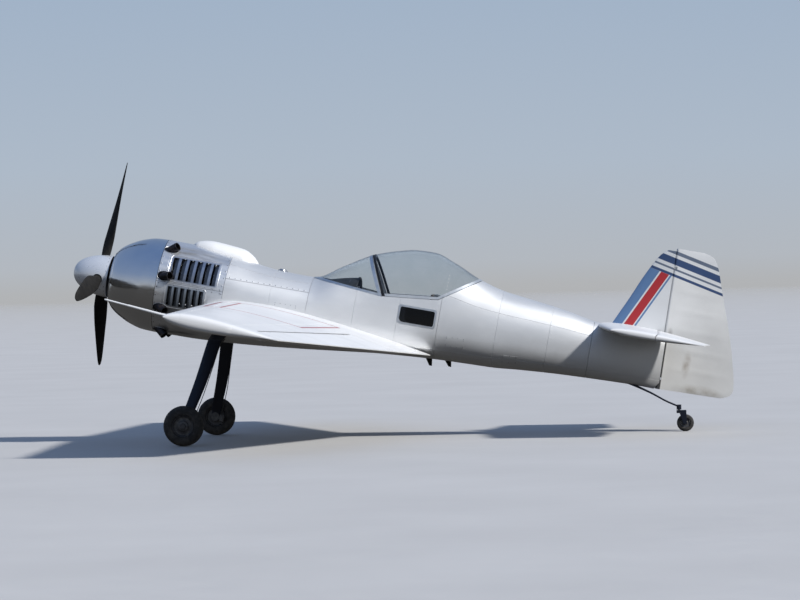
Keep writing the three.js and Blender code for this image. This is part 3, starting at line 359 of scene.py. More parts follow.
def combined(shape, tools, operation):
    """A solid cut by, kept within or joined to each of the tools in turn."""
    made = [placed("tool", to_mesh("tool", s)) for s in [shape, *tools]]
    for tool in made[1:]:
        modifier = made[0].modifiers.new("combine", "BOOLEAN")
        modifier.operation = operation
        modifier.solver = "MANIFOLD"
        modifier.object = tool
    solid = shape_of(evaluated(made[0]).data)
    for obj in made:
        discard(obj)
    return solid


def cut(shape, *tools):
    return combined(shape, tools, "DIFFERENCE")


def kept(shape, *tools):
    return combined(shape, tools, "INTERSECT")


def joined(shape, *tools):
    return combined(shape, tools, "UNION")


def piece(name, shape, look, slot, body="airframe", replaces=(), place=PARKED, sharp=30, bevel=0.0):
    """A finished piece of the object in one of LOOKS, riding on its body."""
    mesh = to_mesh(name, shape)
    obj = placed(name, mesh)
    obj.matrix_world = place
    mesh.shade_smooth()
    mesh.set_sharp_from_angle(angle=math.radians(sharp))
    mesh.materials.append(LOOKS[look])
    if bevel:
        modifier = obj.modifiers.new("bevel", "BEVEL")
        modifier.width = bevel
        modifier.segments = 2
        modifier.limit_method = "ANGLE"
        modifier.angle_limit = math.radians(sharp)
        modifier.harden_normals = True
    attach(obj, body)
    if replaces:
        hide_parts(*replaces)
    return obj


def pair(name, port, look, slot, bodies=("airframe", "airframe"), replaces=(), **settings):
    """A port piece and its mirror image."""
    for side, shape, body in (("left", port, bodies[0]), ("right", port.mirrored(), bodies[1])):
        nodes = [f"{node}_{side}" for node in replaces]
        piece(f"{name}_{side}", shape, look, slot, body, nodes, **settings)


# Curves

def mix(a, b, t):
    return a + (b - a) * t


def through(rows, column, x):
    """A smooth curve through one column of a table that never overshoots its rows."""
    last = len(rows) - 1
    k = 0
    while k < last - 1 and x > rows[k + 1][0]:
        k += 1

    def slope(i):
        return (rows[i + 1][column] - rows[i][column]) / (rows[i + 1][0] - rows[i][0])

    def tangent(i):
        if i == 0:
            return slope(0)
        if i == last:
            return slope(last - 1)
        a, b = slope(i - 1), slope(i)
        return 0.0 if a * b <= 0 else 2 * a * b / (a + b)

    width = rows[k + 1][0] - rows[k][0]
    t = min(max((x - rows[k][0]) / width, 0.0), 1.0)
    p, q = rows[k][column], rows[k + 1][column]
    m, n = tangent(k) * width, tangent(k + 1) * width
    return (
        (2 * t**3 - 3 * t**2 + 1) * p + (t**3 - 2 * t**2 + t) * m
        + (3 * t**2 - 2 * t**3) * q + (t**3 - t**2) * n
    )


def smooth_path(points, steps):
    """Points along a smooth curve through the given ones, with so many steps between two of them."""
    points = [Vector(p) for p in points]
    ends = [2 * points[0] - points[1], *points, 2 * points[-1] - points[-2]]
    path = []
    for k in range(1, len(points)):
        a, b, c, d = ends[k - 1: k + 3]
        square, cube = 2 * a - 5 * b + 4 * c - d, 3 * b - a - 3 * c + d
        for i in range(steps):
            t = i / steps
            path.append(0.5 * (2 * b + (c - a) * t + square * t**2 + cube * t**3))
    return [*path, points[-1]]


def grooved(plain, seams, half):
    """The plain values and four round each seam, each with its share of a groove's depth."""
    values = [(v, 0.0) for v in plain if all(abs(v - s) > 2 * half for s in seams)]
    for s in seams:
        values += [(s - half, 0.0), (s - half / 2, 1.0), (s + half / 2, 1.0), (s + half, 0.0)]
    return sorted(values)


def marked(low, high, step, seams, half=SEAM_HALF):
    """Values from low to high with a groove at each seam between them."""
    count = max(1, round((high - low) / step))
    inside = [s for s in seams if low + 3 * half < s < high - 3 * half]
    return grooved([mix(low, high, i / count) for i in range(count + 1)], inside, half)


def corner_arc(x, z, radius, start):
    """A quarter turn about a corner's middle, from an angle in degrees."""
    turns = [math.radians(start + 15 * k) for k in range(7)]
    return [(x + radius * math.cos(t), z + radius * math.sin(t)) for t in turns]


def rounded_outline(x, z, corners):
    """A rectangle from two spans with a radius at each corner: aft low, aft high, front high, front low."""
    (x0, x1), (z0, z1), (a, b, c, d) = x, z, corners
    return [
        *corner_arc(x1 - a, z0 + a, a, -90), *corner_arc(x1 - b, z1 - b, b, 0),
        *corner_arc(x0 + c, z1 - c, c, 90), *corner_arc(x0 + d, z0 + d, d, 180),
    ]


def on_circle(x, radius, degrees):
    """A point around the thrust line, at an angle from the top towards port."""
    a = math.radians(degrees)
    return Vector((x, -radius * math.sin(a), radius * math.cos(a)))


def louvre_starts(group):
    return [group["first"] + i * group["pitch"] for i in range(group["count"])]


# The body's surface

def rounded(value, power):
    return math.copysign(abs(value) ** (2 / power), value)


def body_ring(x, columns, inset, groove=0.0):
    """The body's section at x. Columns are angles from starboard over the top, with groove shares."""
    top, bottom, half, wide, power = (through(BODY, c, x) for c in range(1, 6))
    ring = []
    for angle, share in columns:
        depth = inset + SEAM_DEPTH * max(share, groove)
        across, up = rounded(math.cos(angle), power), rounded(math.sin(angle), power)
        rise = top - depth - wide if up >= 0 else wide - bottom - depth
        ring.append((x, across * (half - depth), wide + up * rise))
    return ring


def body_columns(seams, count):
    """Angles all round, with a groove at each seam given in degrees and at its mirror image."""
    full = 2 * math.pi
    wrapped = [math.radians(s) % full for s in seams] + [math.radians(180 - s) % full for s in seams]
    return marked(0.0, full, full / count, wrapped, half=SEAM_HALF / 0.4)[:-1]


def body_solid(low, high, inset=0.0, seams_x=(), seams_around=(), step=0.04, count=96):
    columns = body_columns(seams_around, count)
    return loft([body_ring(x, columns, inset, share) for x, share in marked(low, high, step, seams_x)])


def body_point(x, degrees, lift=0.0):
    return Vector(body_ring(x, [(math.radians(degrees), 0.0)], -lift)[0])


def body_normal(x, degrees):
    along = body_point(x + 0.002, degrees) - body_point(x - 0.002, degrees)
    around = body_point(x, degrees + 0.3) - body_point(x, degrees - 0.3)
    return along.cross(around).normalized() * -1


def spread(place, start, end, pitch):
    """Evenly spaced parameters from start to end along a curve given by a function."""
    samples = 160
    values = [mix(start, end, i / samples) for i in range(samples + 1)]
    points = [Vector(place(v)) for v in values]
    lengths = [0.0]
    for a, b in zip(points, points[1:]):
        lengths.append(lengths[-1] + (b - a).length)
    count = max(1, round(lengths[-1] / pitch))
    chosen, k = [], 0
    for i in range(count + 1):
        target = lengths[-1] * i / count
        while k < samples - 1 and lengths[k + 1] < target:
            k += 1
        span = lengths[k + 1] - lengths[k] or 1.0
        chosen.append(mix(values[k], values[k + 1], (target - lengths[k]) / span))
    return chosen


# Heads of rivets and screws: radius, height, sides
HEADS = {
    "cowl": (0.0075, 0.0022, 12), "deck": (0.0070, 0.0022, 12), "spinner": (0.0050, 0.0016, 10),
    "hatch": (0.0045, 0.0014, 8), "body": (0.0032, 0.0010, 6), "wing": (0.0030, 0.0009, 6),
}


def heads(spots, kind):
    """Low round heads of rivets or screws. Each spot is a point and a normal."""
    radius, height, sides = HEADS[kind]
    shapes = []
    for point, normal in spots:
        across = normal.orthogonal().normalized()
        other = normal.cross(across)
        rings = [
            [point + across * c + other * s + normal * up for c, s in circle(r, sides)]
            for r, up in ((radius, -0.001), (radius, height * 0.4), (radius * 0.6, height))
        ]
        shapes.append(loft(rings))
    return together(shapes)


def body_spot(x, degrees):
    return body_point(x, degrees), body_normal(x, degrees)


def body_row(x0, x1, degrees, pitch):
    """Spots along the body at one angle."""
    return [body_spot(x, degrees) for x in spread(lambda x: body_point(x, degrees), x0, x1, pitch)]


def body_hoop(x, start, end, pitch):
    """Spots around the body at one station."""
    return [body_spot(x, a) for a in spread(lambda a: body_point(x, a), start, end, pitch)]


def side_heads(name, spots, kind, look, slot):
    """Heads at spots on the port side and at their mirror images."""
    mirrored = [tuple(Vector((v.x, -v.y, v.z)) for v in spot) for spot in spots]
    piece(name, heads(spots + mirrored, kind), look, slot)


# Paint: the wing's outline, bands on the fin by depth behind its leading edge, and on its cap by height

WING_STRIPE = {"y": (0.85, 2.05), "share": (0.10, 0.19, 0.66), "line": 0.030}
DEEP_BLUE = (0.028, 0.060, 0.150)
PALE = (0.66, 0.67, 0.68)
BRIGHT_RED = (0.40, 0.020, 0.026)
FIN_BANDS = (
    (-0.2, 0.085, (0.10, 0.19, 0.36)), (0.085, 0.100, PALE), (0.100, 0.185, BRIGHT_RED), (0.185, 0.196, PALE),
    (0.196, 0.214, (0.10, 0.19, 0.36)),
)
SLATE = (0.115, 0.145, 0.205)
CAP_BANDS = (
    (1.000, 2.0, PALE), (1.225, 1.262, SLATE), (1.120, 1.190, DEEP_BLUE), (1.065, 1.085, SLATE),
    (1.000, 1.028, DEEP_BLUE),
)
# Stains on the rudder: x, z, half width, half height, colour
RUDDER_STAINS = (
    (6.185, 0.120, 0.050, 0.160, (0.33, 0.28, 0.23)), (5.960, 0.420, 0.035, 0.060, (0.22, 0.21, 0.20)),
    (6.350, -0.130, 0.300, 0.070, (0.33, 0.30, 0.25)),
)


# Finishes

def add_node(tree, kind, inputs=None, **settings):
    """A new node. Each input is a number or colour, or another node's output that is linked to it."""
    made = tree.nodes.new(kind)
    for key, value in settings.items():
        setattr(made, key, value)
    for socket, value in (inputs or {}).items():
        if isinstance(value, bpy.types.NodeSocket):
            tree.links.new(value, made.inputs[socket])
        else:
            made.inputs[socket].default_value = value
    return made


class Look:
    """A Principled material whose colour, roughness and bump come from nodes.

    Its places are in the level frame, also on a piece whose mesh is already turned to the parked attitude.
    """

    def __init__(self, name, turned=False, **sockets):
        self.material = bpy.data.materials.new(name)
        self.material.use_nodes = True
        self.tree = self.material.node_tree
        self.shader = self.tree.nodes["Principled BSDF"]
        for socket, value in sockets.items():
            self.shader.inputs[socket.replace("_", " ")].default_value = value
        source = self.node("ShaderNodeTexCoord")
        self.place, self.facing = source.outputs["Object"], source.outputs["Normal"]
        if turned:
            level = {"Vector": self.place, "Location": PARKED.translation, "Rotation": (0, PARKED_ANGLE, 0)}
            self.place = self.node("ShaderNodeMapping", level, vector_type="TEXTURE").outputs["Vector"]

    def node(self, kind, inputs=None, **settings):
        return add_node(self.tree, kind, inputs, **settings)

    def noise(self, scale, detail, stretch=(1, 1, 1)):
        vector = self.node("ShaderNodeMapping", {"Vector": self.place, "Scale": stretch}).outputs["Vector"]
        inputs = {"Vector": vector, "Scale": scale, "Detail": detail}
        return self.node("ShaderNodeTexNoise", inputs).outputs["Fac"]

    def span(self, value, low, high, start=0.3, end=0.7):
        """The value from start to end, mapped to low to high."""
        inputs = {"Value": value, "From Min": start, "From Max": end, "To Min": low, "To Max": high}
        return self.node("ShaderNodeMapRange", inputs).outputs["Result"]

    def blend(self, factor, a, b):
        a, b = (c if isinstance(c, bpy.types.NodeSocket) else (*c, 1.0) for c in (a, b))
        return self.node("ShaderNodeMix", {0: factor, 6: a, 7: b}, data_type="RGBA").outputs[2]

    def mottled(self, dark, pale, *noise):
        """A colour that wanders from dark to pale."""
        return self.blend(self.span(self.noise(*noise), 0, 1), dark, pale)

    def maths(self, operation, a, b=0.0):
        return self.node("ShaderNodeMath", {0: a, 1: b}, operation=operation).outputs[0]

    def times(self, a, b):
        return self.maths("MULTIPLY", a, b)

    def plus(self, a, b):
        return self.maths("ADD", a, b)

    def minus(self, a, b):
        return self.maths("SUBTRACT", a, b)

    def most(self, a, b):
        return self.maths("MAXIMUM", a, b)

    def axes(self, vector):
        """The X, Y and Z of a vector."""
        return self.node("ShaderNodeSeparateXYZ", {"Vector": vector}).outputs

    def length(self, vector):
        return self.node("ShaderNodeVectorMath", {0: vector}, operation="LENGTH").outputs["Value"]

    def reach(self, x, y, z=0.0):
        """The length of the vector with these parts."""
        return self.length(self.node("ShaderNodeCombineXYZ", {"X": x, "Y": y, "Z": z}).outputs["Vector"])

    def band(self, value, low, high, soft=0.002):
        """One between low and high, and nothing outside them."""
        rising = self.span(value, 0.0, 1.0, low - soft, low + soft)
        falling = self.span(value, 1.0, 0.0, high - soft, high + soft)
        return self.times(rising, falling)

    def behind(self, line, x, z):
        """How far x is aft of a leaning line of the side view, at height z."""
        (x0, z0), (x1, z1) = line
        lean = (x1 - x0) / (z1 - z0)
        return self.minus(x, self.plus(self.times(z, lean), x0 - z0 * lean))

    def colour(self, output):
        self.tree.links.new(output, self.shader.inputs["Base Color"])

    def rough(self, output):
        self.tree.links.new(output, self.shader.inputs["Roughness"])

    def uneven(self, low, high, *noise):
        """A roughness that wanders from low to high."""
        self.rough(self.span(self.noise(*noise), low, high))

    def bump(self, *layers):
        """Layers are height, strength and distance, the coarsest first."""
        normal = None
        for height, strength, distance in layers:
            inputs = {"Height": height, "Strength": strength, "Distance": distance}
            if normal:
                inputs["Normal"] = normal
            normal = self.node("ShaderNodeBump", inputs).outputs["Normal"]
        self.tree.links.new(normal, self.shader.inputs["Normal"])


def soot_mask(look):
    """How much exhaust soot lies at a place: round each stub and in a streak aft of it."""
    x, y, z = look.axes(look.place)
    port = look.times(look.maths("ABSOLUTE", y), -1.0)
    aft = look.minus(x, STUB["end"][0] - 0.02)
    squeezed = look.most(look.times(aft, 0.17), look.times(aft, -1.0))
    total = 0.0
    for angle in STUB_ANGLES:
        stub = on_circle(0, 0.49, angle)
        distance = look.reach(squeezed, look.minus(port, stub.y), look.minus(z, stub.z))
        total = look.most(total, look.span(distance, 1.0, 0.0, 0.03, 0.13))
    ragged = look.span(look.noise(9, 4, (0.6, 2, 2)), 0.25, 1.0)
    return look.times(total, ragged)


def polished_aluminium(name, rough, metallic=1.0):
    look = Look(name, Metallic=metallic)
    tone = look.mottled((0.74, 0.765, 0.80), (0.83, 0.845, 0.87), 3, 3)
    soot = soot_mask(look)
    look.colour(look.blend(look.times(soot, 0.85), tone, (0.035, 0.032, 0.03)))
    gloss = look.span(look.noise(14, 5, (1, 3, 3)), *rough)
    look.rough(look.plus(gloss, look.times(soot, 0.4)))
    look.bump((look.noise(5, 2), 0.10, 0.01), (look.noise(240, 2, (0.15, 1, 1)), 0.03, 0.001))
    return look.material


def silver_tone(look, dark=(0.67, 0.68, 0.69), pale=(0.73, 0.74, 0.75)):
    """Aluminium paint with faint streaks along the airflow and exhaust soot."""
    soot = soot_mask(look)
    clean = look.mottled(dark, pale, 1.3, 3)
    grime = look.span(look.noise(3.2, 5, (0.3, 1.6, 1.6)), 0.0, 0.20, 0.48, 0.85)
    worn = look.blend(grime, clean, (0.46, 0.45, 0.43))
    return look.blend(look.times(soot, 0.7), worn, (0.08, 0.075, 0.07))


def silver_sheen(look, rough=(0.42, 0.54)):
    look.uneven(*rough, 5, 4, (0.5, 1, 1))
    look.bump((look.noise(2.6, 2), 0.08, 0.01), (look.noise(420, 2), 0.02, 0.0005))


def silver_paint(name, metallic, dark, pale):
    look = Look(name, Metallic=metallic, Coat_Weight=0.2, Coat_Roughness=0.3)
    look.colour(silver_tone(look, dark, pale))
    silver_sheen(look)
    return look.material


def wing_paint():
    """Silver, lighter than the body's as painted sunlight, with a thin red outline round the middle of each
    upper surface.
    """
    look = Look("wing_paint", Metallic=0.1, Coat_Weight=0.3, Coat_Roughness=0.25)
    x, y, _ = look.axes(look.place)
    y = look.maths("ABSOLUTE", y)
    t = look.span(y, 0.0, 1.0, WING["root_y"], WING["tip_y"])
    lead = look.span(t, WING["root"][0], WING["tip"][0], 0.0, 1.0)
    chord = look.span(t, WING["root"][1] - WING["root"][0], WING["tip"][1] - WING["tip"][0], 0.0, 1.0)
    along = look.minus(x, lead)
    share = look.maths("DIVIDE", along, chord)
    (y0, y1), shares, line = WING_STRIPE["y"], WING_STRIPE["share"], WING_STRIPE["line"] / 2
    total = 0.0
    for s in shares:
        off = look.minus(along, look.times(chord, s))
        stripe = look.times(look.band(off, -line, line), look.band(y, y0 - line, y1 + line))
        total = look.most(total, stripe)
    for level in (y0, y1):
        reach = look.band(share, shares[0], shares[-1])
        stripe = look.times(look.band(y, level - line, level + line), reach)
        total = look.most(total, stripe)
    top = look.span(look.axes(look.facing)["Z"], 0.0, 1.0, 0.2, 0.3)
    # Lighter than the body's silver: painted sunlight on the wing
    silver = silver_tone(look, (0.80, 0.805, 0.81), (0.85, 0.85, 0.85))
    look.colour(look.blend(look.times(total, top), silver, (0.36, 0.018, 0.022)))
    silver_sheen(look, (0.30, 0.42))
    return look.material


def capped(look, colour, x, z):
    """The colour under the stripes of the cap, which rise towards the front."""
    slanted = look.plus(z, look.times(look.minus(x, 5.9), 0.22))
    for low, high, paint in CAP_BANDS:
        colour = look.blend(look.band(slanted, low, high), colour, paint)
    return colour


def fin_paint():
    """Silver behind bands of blue, white and red along the leading edge, under blue and slate stripes."""
    look = Look("fin_paint", Metallic=0.15, Coat_Weight=0.3, Coat_Roughness=0.15)
    x, _, z = look.axes(look.place)
    depth = look.minus(look.times(x, 0.900), look.times(z, 0.436))
    depth = look.minus(depth, 0.900 * FIN[0][1] - 0.436 * FIN[0][0])
    colour = silver_tone(look)
    for low, high, paint in FIN_BANDS:
        colour = look.blend(look.band(depth, low, high), colour, paint)
    look.colour(capped(look, colour, x, z))
    silver_sheen(look)
    return look.material


def rudder_paint():
    """Off-white doped fabric with stains by its hinges and its foot, painted shade in its low hinge gap,
    under the fin's stripes.
    """
    look = Look("rudder_paint", turned=True, Coat_Weight=0.2, Coat_Roughness=0.25)
    x, _, z = look.axes(look.place)
    colour = look.mottled((0.64, 0.64, 0.63), (0.72, 0.72, 0.71), 3, 4)
    for at_x, at_z, wide, high, tone in RUDDER_STAINS:
        across = look.times(look.minus(x, at_x), 1 / wide)
        up = look.times(look.minus(z, at_z), 1 / high)
        ragged = look.span(look.noise(11, 5), 0.1, 1.0)
        spot = look.times(look.span(look.reach(across, up), 0.85, 0.0, 0.2, 1.0), ragged)
        colour = look.blend(spot, colour, tone)
    colour = capped(look, colour, x, z)
    # Painted shade: the low part of the leading edge is darkened where the hinge gap lies in shadow
    hinge = (RUDDER_HINGE["low"], RUDDER_HINGE["high"])
    nose = look.span(look.behind(hinge, x, z), 1.0, 0.0, 0.014, 0.020)
    foot = look.span(z, 1.0, 0.0, 0.330, 0.345)
    look.colour(look.blend(look.times(nose, foot), colour, (0.05, 0.05, 0.052)))
    look.uneven(0.36, 0.55, 8, 4)
    look.bump((look.noise(2.4, 2), 0.12, 0.01), (look.noise(700, 2), 0.05, 0.0004))
    return look.material


def brushed_aluminium():
    """The cowl's panels: duller than the dome, with fine marks from wiping, and sooty round the exhausts."""
    look = Look("brushed_aluminium", Metallic=0.8)
    soot = soot_mask(look)
    clean = look.mottled((0.72, 0.735, 0.76), (0.82, 0.83, 0.845), 4, 4)
    x, _, z = look.axes(look.place)
    # Painted sky reflection and shade: the skin round each louvre group is tinted blue-grey
    for group in LOUVRES:
        along = look.band(x, group["first"] - 0.012, louvre_starts(group)[-1] + group["width"] + 0.012, 0.012)
        up = look.band(z, group["low"] - 0.010, group["high"] + 0.010, 0.012)
        clean = look.blend(look.times(along, up), clean, group["tint"])
    look.colour(look.blend(look.times(soot, 0.8), clean, (0.045, 0.042, 0.04)))
    gloss = look.span(look.noise(24, 5, (0.2, 1, 1)), 0.26, 0.40)
    look.rough(look.plus(gloss, look.times(soot, 0.3)))
    look.bump((look.noise(4, 2), 0.10, 0.01), (look.noise(320, 2, (0.08, 1, 1)), 0.05, 0.0006))
    return look.material


def satin_metal(name, dark, pale, rough):
    look = Look(name, Metallic=1.0)
    look.colour(look.mottled(dark, pale, 22, 4))
    look.uneven(*rough, 60, 4, (0.2, 1, 1))
    look.bump((look.noise(300, 3, (0.1, 1, 1)), 0.08, 0.0008))
    return look.material


def painted(name, dark, pale, rough, coat=0.0, dust=0.0, shine=0.5):
    look = Look(name, Coat_Weight=coat, Coat_Roughness=0.12, Specular_IOR_Level=shine)
    base = look.mottled(dark, pale, 9, 4)
    dirt = look.span(look.noise(26, 6), 0.0, dust, 0.45, 0.75)
    look.colour(look.blend(dirt, base, (0.30, 0.275, 0.24)))
    look.uneven(*rough, 18, 4)
    look.bump((look.noise(260, 2), 0.04, 0.0006))
    return look.material


def burnt_steel():
    look = Look("burnt_steel", Metallic=0.85)
    heat = look.node("ShaderNodeValToRGB", {"Fac": look.noise(16, 4)})
    stops = heat.color_ramp.elements
    stops[0].position, stops[0].color = 0.32, (0.020, 0.017, 0.016, 1)
    stops[1].position, stops[1].color = 0.68, (0.085, 0.062, 0.048, 1)
    stops.new(0.5).color = (0.036, 0.036, 0.046, 1)
    look.colour(heat.outputs["Color"])
    look.uneven(0.38, 0.62, 70, 4)
    look.bump((look.noise(180, 3), 0.15, 0.001))
    return look.material


def rubber():
    look = Look("tyre_rubber")
    dust = look.span(look.noise(18, 6), 0, 0.6, 0.42, 0.72)
    look.colour(look.blend(dust, (0.018, 0.018, 0.019), (0.085, 0.078, 0.07)))
    look.uneven(0.62, 0.9, 40, 3)
    look.bump((look.noise(500, 3), 0.2, 0.001))
    return look.material


def leather(name, dark, pale):
    look = Look(name)
    look.colour(look.mottled(dark, pale, 12, 5))
    look.uneven(0.42, 0.7, 30, 4)
    cells = look.node("ShaderNodeTexVoronoi", {"Vector": look.place, "Scale": 420.0}).outputs["Distance"]
    look.bump((look.noise(24, 4), 0.25, 0.003), (cells, 0.25, 0.0008))
    return look.material


def canopy_frame():
    """A black front hoop, and pale satin metal along the sills and the rear."""
    look = Look("canopy_frame_metal", Metallic=0.5)
    x, _, z = look.axes(look.place)
    hoop = look.span(look.behind(BOW, x, z), 1.0, 0.0, 0.038, 0.042)
    metal = look.mottled((0.42, 0.45, 0.49), (0.52, 0.55, 0.58), 14, 4)
    look.colour(look.blend(hoop, metal, (0.012, 0.013, 0.016)))
    look.uneven(0.32, 0.46, 40, 4, (0.3, 1, 1))
    look.bump((look.noise(240, 2), 0.04, 0.0006))
    return look.material


def webbing():
    look = Look("harness_webbing")
    inputs = {"Vector": look.place, "Scale": 160.0, "Distortion": 1.0}
    wave = look.node("ShaderNodeTexWave", inputs).outputs["Fac"]
    look.colour(look.blend(wave, (0.02, 0.03, 0.06), (0.05, 0.07, 0.12)))
    look.uneven(0.7, 0.9, 60, 3)
    look.bump((wave, 0.3, 0.0008))
    return look.material


def acrylic(name, deep, pale):
    """Thin acrylic: clear to look through and glossy at a slant, with a tint."""
    look = Look(name)
    tree = look.tree
    tree.nodes.remove(look.shader)
    clear = look.node("ShaderNodeBsdfTransparent", {"Color": look.mottled(deep, pale, 7, 3)})
    gloss = look.node("ShaderNodeBsdfGlossy", {"Roughness": 0.03})
    slant = look.node("ShaderNodeLayerWeight", {"Blend": 0.5}).outputs["Facing"]
    sheen = look.span(look.maths("POWER", slant, 4.0), 0.025, 0.5, 0.0, 1.0)
    mixer = look.node("ShaderNodeMixShader", {0: sheen, 1: clear.outputs["BSDF"], 2: gloss.outputs["BSDF"]})
    tree.links.new(mixer.outputs["Shader"], tree.nodes["Material Output"].inputs["Surface"])
    return look.material


LOOKS = {
    "polished": polished_aluminium("polished_aluminium", (0.12, 0.24)),
    "spun": polished_aluminium("spun_aluminium", (0.26, 0.36), 0.5),
    "silver": silver_paint("silver_paint", 0.6, (0.67, 0.68, 0.69), (0.73, 0.74, 0.75)),
    # A lighter, less metallic copy of the silver paint on the blister, tailplane, ailerons and wing fittings:
    # painted sunlight on their tops
    "bright": silver_paint("silver_paint_lightened_for_sun", 0.1, (0.75, 0.76, 0.77), (0.81, 0.815, 0.82)),
    "wing": wing_paint(),
    "fin": fin_paint(),
    "rudder": rudder_paint(),
    "frame": satin_metal("frame_metal", (0.62, 0.64, 0.66), (0.74, 0.76, 0.78), (0.28, 0.42)),
    "steel": satin_metal("bare_steel", (0.42, 0.43, 0.45), (0.56, 0.57, 0.59), (0.28, 0.45)),
    "fastener": satin_metal("fastener_steel", (0.30, 0.31, 0.33), (0.45, 0.46, 0.48), (0.35, 0.5)),
    "engine": painted("engine_metal", (0.035, 0.036, 0.04), (0.09, 0.09, 0.095), (0.4, 0.6), dust=0.3),
    "burnt": burnt_steel(),
    "gear": painted(
        "dark_paint", (0.005, 0.008, 0.018), (0.008, 0.012, 0.024), (0.34, 0.42), 0.1, shine=0.35,
    ),
    "blade": painted(
        "blade_black", (0.010, 0.010, 0.010), (0.020, 0.019, 0.018), (0.66, 0.82), dust=0.04, shine=0.1,
    ),
    "rubber": rubber(),
    "seal": painted("seal_black", (0.015, 0.015, 0.016), (0.03, 0.03, 0.03), (0.6, 0.8), dust=0.2),
    "glass": acrylic("canopy_acrylic", (0.925, 0.95, 0.965), (0.945, 0.965, 0.98)),
    "smoked": acrylic("smoked_acrylic", (0.12, 0.13, 0.15), (0.16, 0.17, 0.19)),
    "brushed": brushed_aluminium(),
    # Painted shade: the louvre vanes are dark in place of the shade inside their slots
    "slot_shade_dark": satin_metal("vane_dark_for_slot_shade", (0.10, 0.105, 0.12), (0.17, 0.18, 0.20), (0.35, 0.5)),
    "canopy_frame": canopy_frame(),
    "rim": painted("rim_paint", (0.02, 0.022, 0.028), (0.05, 0.052, 0.06), (0.35, 0.5), 0.2, 0.3),
    "cockpit": painted("cockpit_grey", (0.07, 0.075, 0.08), (0.13, 0.135, 0.14), (0.5, 0.7), dust=0.12),
    "panel": painted("panel_black", (0.016, 0.017, 0.018), (0.03, 0.031, 0.033), (0.45, 0.65), dust=0.05),
    "leather": leather("seat_leather", (0.055, 0.042, 0.034), (0.115, 0.088, 0.07)),
    "webbing": webbing(),
    "coaming": painted(
        "coaming_black", (0.010, 0.010, 0.011), (0.018, 0.018, 0.019), (0.65, 0.85), dust=0.02,
    ),
    "white": painted("dial_white", (0.6, 0.6, 0.58), (0.72, 0.72, 0.7), (0.4, 0.6)),
    "red": painted("knob_red", (0.30, 0.012, 0.01), (0.42, 0.02, 0.016), (0.3, 0.45), 0.4),
}


# Cowl

def stub_ends(angle):
    return on_circle(*STUB["start"], angle), on_circle(*STUB["end"], angle)


def stub_tools(radius):
    """Round cutters along each exhaust stub, on both sides."""
    ends = map(stub_ends, STUB_ANGLES)
    return [both_sides(tube([a.lerp(b, -0.2), a.lerp(b, 1.3)], radius, 32)) for a, b in ends]


def louvre_slots():
    slots = []
    for group in LOUVRES:
        for x in louvre_starts(group):
            port = block((x, x + group["width"]), (-0.6, -0.3), (group["low"], group["high"]))
            slots.append(both_sides(port))
    return slots


def angle_at_height(x, z):
    """The angle on the port side where the body's section is at height z."""
    low, high = 90.0, 270.0
    for _ in range(40):
        middle = (low + high) / 2
        if body_point(x, middle).z > z:
            low = middle
        else:
            high = middle
    return low


def louvre_vane(x, width, low, high):
    """A slanted vane in a slot: flush at the slot's rear edge and sunk at its front."""
    rings, steps, thick = [], 12, 0.0016
    for k in range(steps + 1):
        z = mix(low - 0.006, high + 0.006, k / steps)
        angle = angle_at_height(x, z)
        path = [(share * width, lift) for share, lift in LOUVRE_VANE]
        outer = [body_point(x + along, angle, lift) for along, lift in path]
        inner = [body_point(x + along + 0.3 * thick, angle, lift - thick) for along, lift in reversed(path)]
        rings.append([*outer, *inner])
    return loft(rings)


def louvre_rim(group):
    """A low raised rim pressed round a whole group of louvres."""
    start = group["first"] - 0.026
    end = louvre_starts(group)[-1] + group["width"] + 0.026
    low, high, corner = group["low"] - 0.022, group["high"] + 0.022, 0.030
    outline = rounded_outline((start, end), (low, high), [corner] * 4)

    def on_skin(x, z):
        return body_point(x, angle_at_height(x, z), 0.0002)

    path = [on_skin(x, z) for x, z in outline]
    dense = []
    for a, b in zip(path, path[1:] + path[:1]):
        steps = max(1, round((b - a).length / 0.03))
        for k in range(steps):
            p = a.lerp(b, k / steps)
            dense.append(on_skin(p.x, p.z))
    return tube(dense, 0.0032, 8, loop=True)


